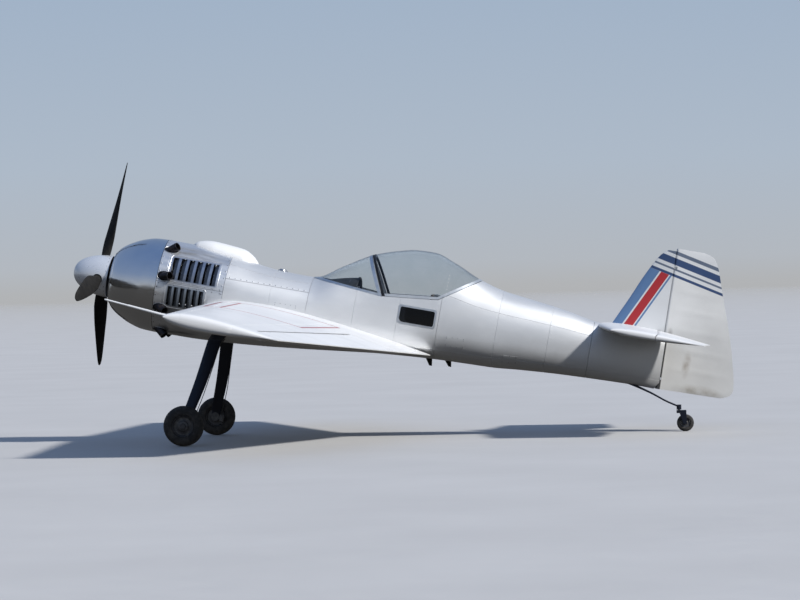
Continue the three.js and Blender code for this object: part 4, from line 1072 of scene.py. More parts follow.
def make_cowl():
    turns = [math.pi * i / 10 for i in range(11)]
    lip = [(0.146 - 0.010 * math.sin(a), 0.268 - 0.010 * math.cos(a)) for a in turns]
    outer = [(x, through(DOME, 1, x)) for x in [mix(0.147, DOME[-1][0], (i / 40) ** 1.6) for i in range(41)]]
    inner = [(x, r - SKIN * min(1, (x - 0.14) * 9)) for x, r in outer[:2:-1]]
    dome = lathe([*lip[::-1], *outer, *inner], 160, loop=True)
    piece("cowl_dome", dome, "polished", "polished_aluminium", replaces=["cowl_nose_ring"])

    shell = body_solid(COWL_SEAM + PANEL_GAP, FIREWALL - PANEL_GAP, seams_x=(0.745,), step=0.03, count=128)
    open_shell = cut(
        shell,
        body_solid(COWL_SEAM - 0.06, FIREWALL + 0.06, SKIN, step=0.06),
        *stub_tools(STUB["radius"] + RUNNING_GAP), *louvre_slots(),
    )
    upper = kept(open_shell, block((0.0, 2.0), (-1.0, 1.0), (COWL_SPLIT_Z + PANEL_GAP, 1.0)))
    piece("cowl_upper_skin", upper, "brushed", "polished_aluminium", replaces=["cowl_upper_panel"])
    lower = kept(open_shell, block((0.0, 2.0), (-1.0, -PANEL_GAP / 2), (-1.0, COWL_SPLIT_Z - PANEL_GAP)))
    pair("cowl_lower_skin", lower, "brushed", "polished_aluminium", replaces=["cowl_lower_panel"])

    vanes = []
    for group in LOUVRES:
        vanes += [louvre_vane(x, group["width"], group["low"], group["high"]) for x in louvre_starts(group)]
    # The vanes' dark metal is painted shade for the inside of the slots
    piece("cowl_louvre_vanes", both_sides(together(vanes)), "slot_shade_dark", "polished_aluminium")
    rims = together([louvre_rim(group) for group in LOUVRES])
    piece("cowl_louvre_rims", both_sides(rims), "brushed", "polished_aluminium")

    collars = []
    for a, b in map(stub_ends, STUB_ANGLES):
        axis = (b - a).normalized()
        across = axis.orthogonal().normalized()
        other = axis.cross(across)
        edge = circle(STUB["radius"] + RUNNING_GAP + 0.002, 48)
        ring = [cowl_exit(a + across * c + other * s, axis) for c, s in edge]
        collars.append(tube(ring, 0.004, 8, loop=True))
    piece("exhaust_collars", both_sides(together(collars)), "fastener", "polished_aluminium")


def cowl_exit(start, axis):
    """Where a line from inside the cowl meets its skin."""
    low, high = 0.0, 0.5
    for _ in range(30):
        t = (low + high) / 2
        p = start + axis * t
        top, bottom, half, wide, power = (through(BODY, c, p.x) for c in range(1, 6))
        rise = top - wide if p.z > wide else wide - bottom
        inside = abs(p.y / half) ** power + abs((p.z - wide) / rise) ** power < 1
        low, high = (t, high) if inside else (low, t)
    return start + axis * low


def cowl_fasteners():
    spots = []
    for rise in (0.018, -0.018):
        spots += body_row(0.69, 1.33, angle_at_height(1.0, COWL_SPLIT_Z + rise), 0.08)
    for x in (COWL_SEAM + 0.016, FIREWALL - 0.016):
        spots += body_hoop(x, 90, 270, 0.085)
    side_heads("cowl_fasteners", spots, "cowl", "fastener", "polished_aluminium")


def make_stubs():
    pipes = []
    for a, b in map(stub_ends, STUB_ANGLES):
        outer = tube([a.lerp(b, t / 8) for t in range(9)], STUB["radius"], 32)
        bore = tube([a.lerp(b, 0.3), a.lerp(b, 1.2)], STUB["bore"], 32)
        pipes.append(cut(outer, bore))
    piece("exhaust_stubs", both_sides(together(pipes)), "burnt", "engine_metal", bevel=0.0015)


def make_engine():
    case = lathe([
        (0.185, 0.0), (0.186, 0.050), (0.195, 0.080), (0.230, 0.105), (0.285, 0.150), (0.305, 0.190),
        (0.330, 0.205), (0.660, 0.205), (0.700, 0.190), (0.720, 0.150), (1.330, 0.140), (1.3595, 0.120),
        (1.3595, 0.0),
    ], 72)
    shaft = tube([(0.02, 0, 0), (0.20, 0, 0)], 0.038, 32)
    angles = [360 * i / ENGINE["count"] for i in range(ENGINE["count"])]
    shape = together([case, shaft, *[cylinder_shape(angle) for angle in angles]])
    piece("radial_engine_detail", shape, "engine", "engine_metal", replaces=["radial_engine"])

    rods = []
    bends = ((0.70, 0.17, 16), (0.66, 0.27, 15), (0.60, 0.36, 10))
    for angle in angles:
        for offset in (-7, 7):
            foot = on_circle(0.345, 0.185, angle + offset * 0.9)
            head = on_circle(0.425, 0.385, angle + offset * 0.75)
            rods.append(tube([foot, head], 0.0095, 12))
        pipe = [on_circle(x, r, angle + a) for x, r, a in bends]
        rods.append(tube(smooth_path(pipe, 6), 0.024, 12))
    ring = [on_circle(0.335, 0.222, 5 * i) for i in range(72)]
    rods.append(tube(ring, 0.012, 10, loop=True))
    piece("engine_pipes", together(rods), "steel", "engine_metal")


def cylinder_shape(angle):
    """A finned barrel and its head, standing out from the crankcase."""
    foot, head = (on_circle(ENGINE["cylinder_x"], r, angle) for r in (0.175, ENGINE["reach"]))
    path, radii = [], []
    fins = 13
    for k in range(fins):
        for t, r in ((0.0, 0.060), (0.05, 0.080), (0.5, 0.080), (0.55, 0.060)):
            path.append(foot.lerp(head, (k + t) / fins * 0.86))
            radii.append(r)
    path += [foot.lerp(head, 0.87), foot.lerp(head, 0.90), foot.lerp(head, 0.98), head]
    radii += [0.060, 0.074, 0.070, 0.052]
    return tube(path, radii, 20)


# Body

def window_outline(grow):
    x, z = ((low - grow, high + grow) for low, high in (SIDE_WINDOW["x"], SIDE_WINDOW["z"]))
    big, small = SIDE_WINDOW["corner"], SIDE_WINDOW["corner"] / 2
    return rounded_outline(x, z, (small, small, small, big))


def hollow(low, high):
    return body_solid(low, high, WALL, step=0.06)


def rim_tool():
    """All above the sill lines and ahead of the canopy's rear edge, as one solid."""
    start = Vector(SILL[0]) - (Vector(SILL[1]) - Vector(SILL[0])) * 4
    end = Vector(CANOPY_REAR[0]) + (Vector(CANOPY_REAR[1]) - Vector(CANOPY_REAR[0])) * 4
    return slab([start, SILL[0], SILL[1], SILL_AFT[1], end, (end.x, 4.0), (start.x, 4.0)], -1.5, 1.5)


def make_fuselage():
    span = (FIREWALL + PANEL_GAP, SILL[0][0] - PANEL_GAP)
    for name, node, seam, heights in (
        ("forward_deck_skin", "forward_deck", 52, (-1, DECK_FLOOR + PANEL_GAP)),
        ("forward_skin", "fuselage_forward", -38, (DECK_FLOOR - PANEL_GAP, 2)),
    ):
        whole = body_solid(*span, seams_x=(1.84,), seams_around=(seam,))
        skin = cut(whole, hollow(FIREWALL - 0.06, 2.4), block((0, 4), (-1, 1), heights))
        piece(name, skin, "silver", "silver_paint", replaces=[node])

    tub = cut(
        body_solid(SILL[0][0] + PANEL_GAP, TUB_END - PANEL_GAP, seams_x=(2.72, 3.175), seams_around=(-38,)),
        hollow(SILL[0][0] - 0.06, TUB_END + 0.06), rim_tool(), slab(window_outline(0.0), -1, 1),
    )
    piece("center_skin", tub, "silver", "silver_paint", replaces=["fuselage_center"])

    rear = body_solid(
        TUB_END + PANEL_GAP, TAILCONE_START - PANEL_GAP, seams_x=(4.20, 4.74), seams_around=(-36, 30),
    )
    rear = kept(rear, right_of(CANOPY_REAR, -SEAT_GAP))
    piece("rear_skin", rear, "silver", "silver_paint", replaces=["rear_fuselage"])


def make_window():
    shell = cut(body_solid(3.0, 3.7, 0.004, step=0.03), body_solid(2.9, 3.8, 0.004 + GLASS, step=0.03))
    port = kept(shell, slab(window_outline(-0.0005), -1.0, 0.0))
    pair("side_pane", port, "smoked", "glazing", replaces=["side_window"])
    trim = cut(
        kept(body_solid(3.0, 3.7, -0.0022, step=0.03), slab(window_outline(0.014), -1.0, 0.0)),
        body_solid(2.9, 3.8, 0.0005, step=0.03), slab(window_outline(-0.006), -1.1, 0.1),
    )
    pair("side_window_frame", trim, "frame", "frame_metal")


def make_blister():
    stations = [
        (0.915, 0.004, 0.020), (0.960, 0.040, 0.095), (1.150, 0.082, 0.140), (1.450, 0.096, 0.130),
        (1.560, 0.060, 0.095), (1.620, 0.006, 0.020),
    ]
    rings = []
    for k in range(31):
        x = mix(stations[0][0], stations[-1][0], k / 30)
        rise, half = through(stations, 1, x), through(stations, 2, x)
        crest = through(BODY, 1, x)
        rings.append([(x, half * c, crest - 0.03 + (rise + 0.03) * s) for c, s in circle(1.0, 48)])
    shape = cut(loft(rings), body_solid(0.7, 1.9, -SEAT_GAP, step=0.03))
    piece("top_blister_skin", shape, "bright", "silver_paint", replaces=["top_blister"])


# Windscreen and canopy

def glass_shell(inset, wall):
    outer = body_solid(2.19, 4.10, inset, step=0.03, count=144)
    return cut(outer, body_solid(2.10, 4.20, inset + wall, step=0.03, count=144))


def rim_space(shift):
    """What the windscreen and canopy may fill: the space over the rim, a shift away from it."""
    lifted = []
    for line in (SILL, SILL_AFT, CANOPY_REAR):
        left = directions(line)[2] * shift
        lifted.append([Vector(p) + left for p in line])
    first = lifted[0][0] - (lifted[0][1] - lifted[0][0]) * 3
    end = lifted[2][1] + (lifted[2][1] - lifted[2][0]) * 3
    corners = [first, crossing(lifted[0], lifted[1]), crossing(lifted[1], lifted[2]), end]
    return slab([*corners, (end.x, 4.0), (first.x, 4.0)], -1.5, 1.5)


def crossing(a, b):
    """Where two lines of the side view cross."""
    p, r = a[0], a[1] - a[0]
    q, s = b[0], b[1] - b[0]
    t = (q - p).cross(s) / r.cross(s)
    return p + r * t


def make_glasshouse():
    glass = glass_shell(0.0, GLASS)
    frame_shell = glass_shell(-0.003, FRAME_WALL + 0.003)
    front = block((SILL[0][0] + SEAT_GAP, FAR), (-0.9, 0.9), (-0.9, 1.2))
    edging = cut(
        kept(frame_shell, rim_space(SEAT_GAP), front, right_of(BOW, 0.0)),
        kept(rim_space(BOW_FOOT), right_of(BOW, BOW_BAND)),
    )
    piece("windscreen_arch", edging, "frame", "frame_metal", replaces=["windscreen_bow"], bevel=0.0015)
    screen = kept(glass, rim_space(BOW_FOOT * 0.6), front, right_of(BOW, BOW_BAND * 0.6))
    piece("windscreen_pane", screen, "glass", "glazing", replaces=["windscreen_glass"])

    gap = RUNNING_GAP
    whole = kept(frame_shell, rim_space(gap), left_of(BOW, gap))
    rail = cut(whole, kept(rim_space(gap + REAR_BAND), left_of(BOW, gap + REAR_BAND)))
    rail = joined(rail, canopy_knuckles())
    piece("canopy_rail", rail, "canopy_frame", "frame_metal", "canopy", ["canopy_frame"], bevel=0.0015)
    pane = kept(glass, rim_space(gap + REAR_BAND * 0.6), left_of(BOW, gap + REAR_BAND * 0.6))
    piece("canopy_pane", pane, "glass", "glazing", "canopy", replaces=["canopy_glass"])


def on_hinge(u):
    """A place on the canopy's hinge line."""
    start, end = Vector(CANOPY_HINGE["from"]), Vector(CANOPY_HINGE["to"])
    return start + (end - start).normalized() * u


def canopy_knuckles():
    """The canopy's own knuckles, which turn on the sill's pins."""
    knuckles = []
    for u in CANOPY_HINGE["at"]:
        for side in (-1, 1):
            k = on_hinge(u + side * 0.026)
            barrel = tube([on_hinge(u + side * v) for v in (0.018, 0.034)], CANOPY_HINGE["radius"], 24)
            web = block((k.x - 0.0075, k.x + 0.0075), (k.y - 0.034, k.y + 0.006), (k.z + 0.009, k.z + 0.022))
            bore = tube([on_hinge(u + side * v) for v in (0.010, 0.042)], CANOPY_HINGE["bore"], 20)
            knuckles.append(cut(joined(barrel, web), bore))
    return together(knuckles)


def make_fixed_knuckles():
    parts = []
    for u in CANOPY_HINGE["at"]:
        p = on_hinge(u)
        arm = block((p.x - 0.011, p.x + 0.011), (p.y - 0.034, p.y), (p.z - 0.009, p.z + 0.001))
        barrel = tube([on_hinge(u - 0.012), on_hinge(u + 0.012)], CANOPY_HINGE["radius"], 24)
        pin = tube([on_hinge(u - 0.036), on_hinge(u + 0.036)], CANOPY_HINGE["pin"], 20)
        parts.append(joined(barrel, arm, pin))
    piece("canopy_hinges", together(parts), "steel", "frame_metal", bevel=0.0006)


# Wing-like sections

def aerofoil(share, thickness):
    """Half the thickness of a classic section at a share of the chord, per unit of chord."""
    s = share
    return 5 * thickness * (0.2969 * math.sqrt(s) - 0.126 * s - 0.3516 * s**2 + 0.2843 * s**3 - 0.1015 * s**4)


def foil_shares(seams=(), count=30):
    """Shares of the chord from the nose to the trailing edge, closer at both ends, with grooves."""
    plain = [(1 - math.cos(math.pi * i / count)) / 2 for i in range(1, count + 1)]
    return grooved(plain, seams, 0.0016)


def pitched(lead, z, along, up, incidence):
    """The x and z of a place along and over a chord that pitches about its leading edge."""
    c, s = math.cos(incidence), math.sin(incidence)
    return lead + along * c + up * s, z - along * s + up * c


def skin_place(row, share, side, incidence, shrink=1.0, depth=0.0):
    """The x and z of a section's upper or lower skin, given by side 1 or -1, at a share of its chord."""
    lead, trail, z, thickness = row
    half = max(aerofoil(share, thickness * shrink) * (trail - lead), TRAILING_EDGE) - depth
    return pitched(lead, z, share * (trail - lead), side * half, incidence)


def foil_ring(y, row, incidence, shares, shrink=1.0, groove=0.0):
    def at(share, side, depth):
        x, z = skin_place(row, share, side, incidence, shrink, depth)
        return x, y, z

    depths = [(s, 0.0025 * max(g, groove) if s < 0.995 else 0.0) for s, g in shares]
    upper = [at(s, 1, d) for s, d in reversed(depths)]
    lower = [at(s, -1, d) for s, d in depths]
    return [Vector(p) for p in [*upper, (row[0], y, row[2]), *lower]]


def mixed_row(first, last, t):
    return [mix(a, b, t) for a, b in zip(first, last)]


def wing_row(y):
    t = (abs(y) - WING["root_y"]) / (WING["tip_y"] - WING["root_y"])
    return mixed_row(WING["root"], WING["tip"], t)


def stabiliser_row(y):
    return mixed_row(STABILISER["root"], STABILISER["tip"], abs(y) / STABILISER["tip_y"])


def surface(row_at, y0, y1, incidence=0.0, tip=0.06, seams_y=(), shares=None, step=0.25):
    """A wing-like solid from one span station to another, ruled between them, with a rounded tip."""
    inner = y1 - tip
    shares = shares or foil_shares()

    def ends(groove):
        return [foil_ring(-y, row_at(y), incidence, shares, groove=groove) for y in (y0, inner)]

    plain, deep = ends(0.0), ends(1.0)
    rings = []
    for y, share in marked(y0, inner, step, seams_y):
        t = (y - y0) / (inner - y0)
        a, b = deep if share else plain
        rings.append([p.lerp(q, t) for p, q in zip(a, b)])
    steps = 8
    for k in range(1, steps + 1):
        turn = math.pi / 2 * k / steps
        y = inner + tip * math.sin(turn)
        shrink = max(math.cos(turn) ** 0.7, 0.12)
        rings.append(foil_ring(-y, row_at(y), incidence, shares, shrink))
    return loft(rings)


def wing_spot(y, share, side):
    """A point of the wing's upper or lower skin and its normal."""
    stations = (WING["root_y"], 3.77)

    def at(yy, s):
        ends = []
        for station in stations:
            x, z = skin_place(wing_row(station), s, side, WING["incidence"])
            ends.append(Vector((x, -station, z)))
        return ends[0].lerp(ends[1], (yy - stations[0]) / (stations[1] - stations[0]))

    point = at(y, share)
    along = at(y, min(share + 0.004, 1)) - at(y, share - 0.004)
    across = at(y + 0.01, share) - at(y - 0.01, share)
    normal = along.cross(across).normalized()
    if normal.z * side < 0:
        normal = -normal
    return point, normal


class Hinge:
    """A hinge line between a fixed surface and the moving one behind it."""

    def __init__(self, start, end, halves, travel, brackets):
        self.start, self.end = Vector(start), Vector(end)
        self.length = (self.end - self.start).length
        self.along = (self.end - self.start).normalized()
        across = Vector((1, 0, 0)).cross(self.along).normalized()
        self.aft = self.along.cross(across).normalized()
        self.up = self.along.cross(self.aft)
        self.halves, self.travel, self.brackets = halves, travel, brackets

    def at(self, u):
        return self.start + self.along * u

    def half(self, u):
        return mix(*self.halves, u / self.length)

    def box(self, u, a, reach):
        place = Matrix((self.along, self.aft, self.up)).transposed().to_4x4()
        place.translation = self.start
        return block(u, a, (-reach, reach)).moved(place)

    def round(self, u0, u1, radius):
        return tube([self.at(u0), self.at(u1)], [radius(u0), radius(u1)], 40)


def moving_part(whole, hinge, u0, u1):
    """What a moving surface keeps of the whole: all behind the hinge line, and its round nose."""
    behind = hinge.box((u0, u1), (0, 3), 3)
    made = kept(whole, joined(behind, hinge.round(u0, u1, hinge.half)))
    tools = []
    for at in hinge.brackets:
        reach = hinge.half(at) + 0.04
        span = (at - BRACKET["slot"] / 2, at + BRACKET["slot"] / 2)
        tools.append(hinge.box(span, (-reach, BRACKET["slot_tail"]), reach))
        bore = BRACKET["pin_length"] / 2 + 0.001
        tools.append(hinge.round(at - bore, at + bore, lambda u: BRACKET["pin_bore"]))
    return cut(made, *tools)


def fixed_part(whole, hinge, u0, u1):
    """What is left ahead of the hinge: a round cove, with brackets and pins standing in it."""
    u0, u1 = u0 - RUNNING_GAP, u1 + RUNNING_GAP
    widen = 1 / math.cos(math.radians(hinge.travel))

    def cove(u):
        return hinge.half(u) * widen + RUNNING_GAP

    made = cut(whole, hinge.box((u0, u1), (0, 3), 3), hinge.round(u0, u1, cove))
    for at in hinge.brackets:
        span = (at - BRACKET["width"] / 2, at + BRACKET["width"] / 2)
        arm = hinge.box(span, (-cove(at) - BRACKET["root"], BRACKET["tail"]), BRACKET["half_height"])
        half = BRACKET["pin_length"] / 2
        made = joined(made, arm, hinge.round(at - half, at + half, lambda u: BRACKET["pin"]))
    return made


# Wing

def nose_half(row, share):
    """Half the thickness of a moving surface's round nose, whose hinge is at a share of the chord."""
    return aerofoil(share, row[3]) * (row[1] - row[0]) * 0.98


def aileron_hinge():
    def point(y):
        lead, trail, z, _ = wing_row(y)
        x, height = pitched(lead, z, AILERON["share"] * (trail - lead), 0.0, WING["incidence"])
        return x, -y, height

    start, end = point(AILERON["from"]), point(AILERON["to"])
    length = (Vector(end) - Vector(start)).length
    halves = [nose_half(wing_row(AILERON[k]), AILERON["share"]) for k in ("from", "to")]
    brackets = (AILERON["bracket_inset"], length - AILERON["bracket_inset"])
    return Hinge(start, end, halves, AILERON["travel"], brackets)


def make_wings():
    shares = foil_shares((0.14, 0.60))
    span = (WING["root_y"], WING["tip_y"], WING["incidence"])
    whole = surface(wing_row, *span, seams_y=(0.62, 1.10, 2.40), shares=shares)
    hinge = aileron_hinge()
    wing = fixed_part(whole, hinge, 0, hinge.length)
    wing = cut(wing, body_solid(0.9, 4.0, -SEAT_GAP))
    pad = tube([(1.9, -0.9, -0.352), (1.9, -0.9, -0.25)], 0.045, 40)
    pair("wing_skin", joined(wing, pad), "wing", "silver_paint", replaces=["wing"], sharp=24)
    flap = moving_part(surface(wing_row, *span), hinge, 0, hinge.length)
    bodies = ("left_aileron", "right_aileron")
    pair("aileron_skin", flap, "bright", "silver_paint", bodies, ["aileron"], sharp=24)


def wing_rivets():
    spots = []
    for side in (1, -1):
        for share in (0.125, 0.155, 0.585, 0.615):
            spots += [wing_spot(0.5 + 0.05 * i, share, side) for i in range(65)]
        for y in (0.61, 1.09, 1.11, 1.75, 2.39, 2.41, 3.05, 3.68):
            limit = 0.72 if AILERON["from"] < y < AILERON["to"] else 0.97
            spots += [wing_spot(y, s, side) for s, _ in foil_shares(count=34) if 0.04 < s < limit]
    piece("wing_rivets", both_sides(heads(spots, "wing")), "bright", "silver_paint")


def make_pitot():
    lead, _, z, _ = wing_row(3.70)
    root, tip = Vector((lead + 0.03, -3.70, z + 0.008)), Vector((0.725, -3.70, -0.110))
    path = [root.lerp(tip, t) for t in (0, 0.04, 0.10, 0.62, 0.64, 0.97, 0.985, 1.0)]
    radii = [0.016, 0.016, 0.013, 0.0115, 0.009, 0.009, 0.008, 0.005]
    piece("pitot_probe", tube(path, radii, 24), "bright", "bare_steel", replaces=["pitot_boom"])


# Tail

def elevator_hinge():
    x, z, tip = STABILISER["hinge_x"], STABILISER["root"][2], STABILISER["tip_y"]
    rows = (STABILISER["root"], STABILISER["tip"])
    halves = [nose_half(row, (x - row[0]) / (row[1] - row[0])) for row in rows]
    return Hinge((x, 0, z), (x, -tip, z), halves, STABILISER["travel"], ELEVATOR["brackets"])


def rudder_axis(z):
    """The hinge line's x at a height, and half the thickness there."""
    low, high = RUDDER_HINGE["low"], RUDDER_HINGE["high"]
    t = (z - low[1]) / (high[1] - low[1])
    return mix(low[0], high[0], t), mix(*RUDDER_HINGE["half"], t)


def fin_ring(z, grow):
    lead = through(FIN, 1, z) - grow
    back, half = rudder_axis(z)
    back, half = back + 0.04, half + grow
    side = []
    for i in range(1, 23):
        s = (i / 22) ** 2
        side.append((mix(lead, back, s), half * math.sqrt(1 - (1 - s) ** 2), z))
    return [(lead, 0, z), *side, *[(x, -y, z) for x, y, _ in reversed(side)]]


def fin_solid(grow):
    low, high = FIN[0][0], FIN[-1][0]
    return loft([fin_ring(mix(low, high, k / 30), grow) for k in range(31)])


def rudder_rings():
    """Sections of the rudder: between ribs the covering sinks a little."""
    even = [mix(RUDDER[0][0], RUDDER[-1][0], k / 90) for k in range(91)]
    heights = sorted({*even, *[r[0] for r in RUDDER]})
    rings = []
    for z in heights:
        x, half = rudder_axis(z)
        trail = through(RUDDER, 1, z)
        near = min(abs(z - r) for r in RUDDER_RIBS)
        sink = 0.0016 * min(1.0, max(0.0, (near - 0.012) / 0.03))
        side = []
        for share in (0.0, 0.03, 0.12, 0.3, 0.5, 0.7, 0.88, 0.97, 1.0):
            dip = sink * math.sin(math.pi * min(max((share - 0.05) / 0.9, 0), 1))
            side.append((mix(x, trail, share), mix(half, TRAILING_EDGE, share) - dip))
        nose = x - half - 0.01
        ring = [(nose, half, z), *[(a, b, z) for a, b in side]]
        rings.append([*ring, *[(a, -b, c) for a, b, c in reversed(ring)]])
    return rings


def rudder_hinge(brackets=slice(None)):
    low, high = RUDDER_HINGE["low"], RUDDER_HINGE["high"]
    length = math.hypot(high[0] - low[0], high[1] - low[1])
    start, end = (low[0], 0, low[1]), (high[0], 0, high[1])
    places = (0.110, length - 0.200)[brackets]
    return Hinge(start, end, RUDDER_HINGE["half"], RUDDER_HINGE["travel"], places)


def make_tail():
    """The tailcone carries the rudder's low bracket, the fin its high one, and both clear the torque tube."""
    hinge = rudder_hinge()

    def part(whole, brackets, slot_low):
        hx, hz = STABILISER["hinge_x"], STABILISER["root"][2]
        slot = block((hx - 0.022, hx + 0.080), (-0.2, 0.2), (hz - slot_low, hz + 0.022))
        return fixed_part(whole, rudder_hinge(brackets), -0.1, hinge.length + 0.1), slot

    cone = body_solid(TAILCONE_START + PANEL_GAP, BODY_END, seams_around=(-36,))
    shape = cut(*part(cone, slice(0, 1), 0.022))
    piece("tailcone_skin", shape, "silver", "silver_paint", replaces=["tailcone"])

    fin, slot = part(fin_solid(0.0), slice(1, 2), 0.100)
    fin = cut(fin, body_solid(5.1, BODY_END, -SEAT_GAP), slot)
    piece("fin_skin", fin, "fin", "silver_paint", replaces=["fin"], bevel=0.002)
    # Turned in its mesh, because a leaning box round the leaning rudder would reach far behind it
    rudder = moving_part(loft(rudder_rings()), hinge, 0, hinge.length).moved(PARKED)
    piece("rudder_skin", rudder, "rudder", "silver_paint", "rudder", ["rudder"], Matrix(), sharp=24)


def make_stabilisers():
    tip = STABILISER["tip_y"]
    hinge = elevator_hinge()
    whole = surface(stabiliser_row, -0.04, tip, tip=0.05, shares=foil_shares((0.16,)))
    fixed = fixed_part(whole, hinge, -0.06, tip + 0.1)
    fixed = cut(fixed, body_solid(TAILCONE_START, BODY_END, -SEAT_GAP), fin_solid(SEAT_GAP))
    pair("stabiliser_skin", fixed, "bright", "silver_paint", replaces=["stabiliser"], sharp=24)

    inner, hx, hz = ELEVATOR["inner"], STABILISER["hinge_x"], STABILISER["root"][2]
    reach = 0.9
    wedge = [
        (hx - 0.2, -inner), (hx + 0.04, -inner), (hx + 0.04 + reach, -inner - reach / ELEVATOR["cut_aft"]),
        (hx + 0.04 + reach, 0.5), (hx - 0.2, 0.5),
    ]
    bore = tube([(hx, 0, hz), (hx, -inner - ELEVATOR["tube_depth"] - 0.001, hz)], ELEVATOR["bore"], 32)
    plain = surface(stabiliser_row, -0.04, tip, tip=0.05)
    moving = moving_part(plain, hinge, inner, tip + 0.05)
    moving = cut(moving, slab(wedge, hz - 0.3, hz + 0.3, "Z"), bore)
    pair("elevator_skin", moving, "bright", "silver_paint", ("elevator", "elevator"), ["elevator"], sharp=24)


# Landing gear

def level(x, y, z):
    """A place of the upright frame, given in the level frame."""
    return TO_LEVEL @ Vector((x, y, z))


def squarish(power, sides):
    """Points round a square with soft corners, one unit from its middle."""
    return [(rounded(c, power), rounded(s, power)) for c, s in circle(1.0, sides)]


def tyre_crown(wheel, wall, powers, steps, grooves=()):
    """A tyre from side to side over the tread: places across and distances from the axle."""
    seat = wheel["rim"] + wheel["seat"]
    crown = []
    for k in range(steps + 1):
        a = math.pi * k / steps
        across = -wheel["width"] / 2 * rounded(math.cos(a), powers[0])
        out = seat + wall + (wheel["radius"] - seat - wall) * rounded(math.sin(a), powers[1])
        groove = any(abs(across - g) < 0.0035 for g in grooves)
        crown.append((across, out - (0.004 if groove else 0.0)))
    return crown


def both_walls(left, tread=()):
    """A wheel's profile from side to side, given its left side and what lies between the sides."""
    return [*left, *tread, *[(-across, out) for across, out in reversed(left)]]


def make_gear():
    wheel = MAIN_WHEEL
    centre = level(wheel["x"], -wheel["y"], wheel["radius"])
    stations = [
        (1.372, 0.250, -0.392, 0.150, 0.030), (1.370, 0.400, -0.432, 0.146, 0.030),
        (1.362, 0.520, -0.506, 0.138, 0.028), (1.340, 0.790, -0.866, 0.124, 0.024),
        (centre.x + 0.004, 1.040, -1.206, 0.104, 0.020), (centre.x, 1.084, centre.z + 0.040, 0.092, 0.020),
        (centre.x, 1.092, centre.z - 0.034, 0.084, 0.018),
    ]
    path = smooth_path([(x, -y, z) for x, y, z, _, _ in stations], 8)
    sizes = smooth_path([(c, t, 0) for _, _, _, c, t in stations], 8)
    rings = []
    for k, (point, size) in enumerate(zip(path, sizes)):
        before, after = path[max(k - 1, 0)], path[min(k + 1, len(path) - 1)]
        along = Vector((0, after.y - before.y, after.z - before.z)).normalized()
        across = Vector((0, -along.z, along.y))
        rings.append([
            point + Vector((c * size.x / 2, 0, 0)) + across * (s * size.y / 2) for c, s in squarish(3.2, 28)
        ])
    leg = cut(loft(rings), body_solid(1.0, 2.0, -SEAT_GAP, step=0.05))
    axle = tube([(centre.x, -y, centre.z) for y in (1.080, wheel["y"] + 0.044)], wheel["axle"], 32)
    pair("gear_spring", joined(leg, axle), "gear", "dark_paint", replaces=["gear_leg"])


def make_main_wheels():
    wheel = MAIN_WHEEL
    place = (wheel["x"], -wheel["y"], wheel["radius"])
    w, rim = wheel["width"] / 2, wheel["rim"]
    bore, seat = wheel["axle"] + wheel["play"], rim + wheel["seat"]
    hub = [
        (-w + 0.018, bore), (-w + 0.018, 0.036), (-w + 0.022, 0.050), (-w + 0.030, 0.056),
        (-w + 0.036, 0.072), (-w + 0.034, rim - 0.016), (-w + 0.018, rim - 0.009), (-w + 0.010, rim - 0.007),
        (-w + 0.008, rim - 0.003), (-w + 0.010, rim), (w - 0.010, rim), (w - 0.008, rim - 0.003),
        (w - 0.010, rim - 0.007), (w - 0.018, rim - 0.009), (w - 0.034, rim - 0.016), (w - 0.036, 0.072),
        (w - 0.030, 0.056), (w - 0.022, 0.048), (w - 0.014, 0.036), (w - 0.014, bore),
    ]
    bodies = ("left_wheel", "right_wheel")
    rim_shape = axle_lathe(hub, place, 96)
    pair("main_rim", rim_shape, "rim", "bare_steel", bodies, ["main_wheel"], place=UPRIGHT)
    crown = tyre_crown(wheel, 0.02, (2.6, 2.4), 40, (-0.030, -0.010, 0.010, 0.030))
    tyre = axle_lathe(both_walls([(-w + 0.012, seat), (-w + 0.003, seat + 0.008)], crown), place, 128)
    pair("main_tyre", tyre, "rubber", "tyre_rubber", bodies, ["main_tire"], place=UPRIGHT)


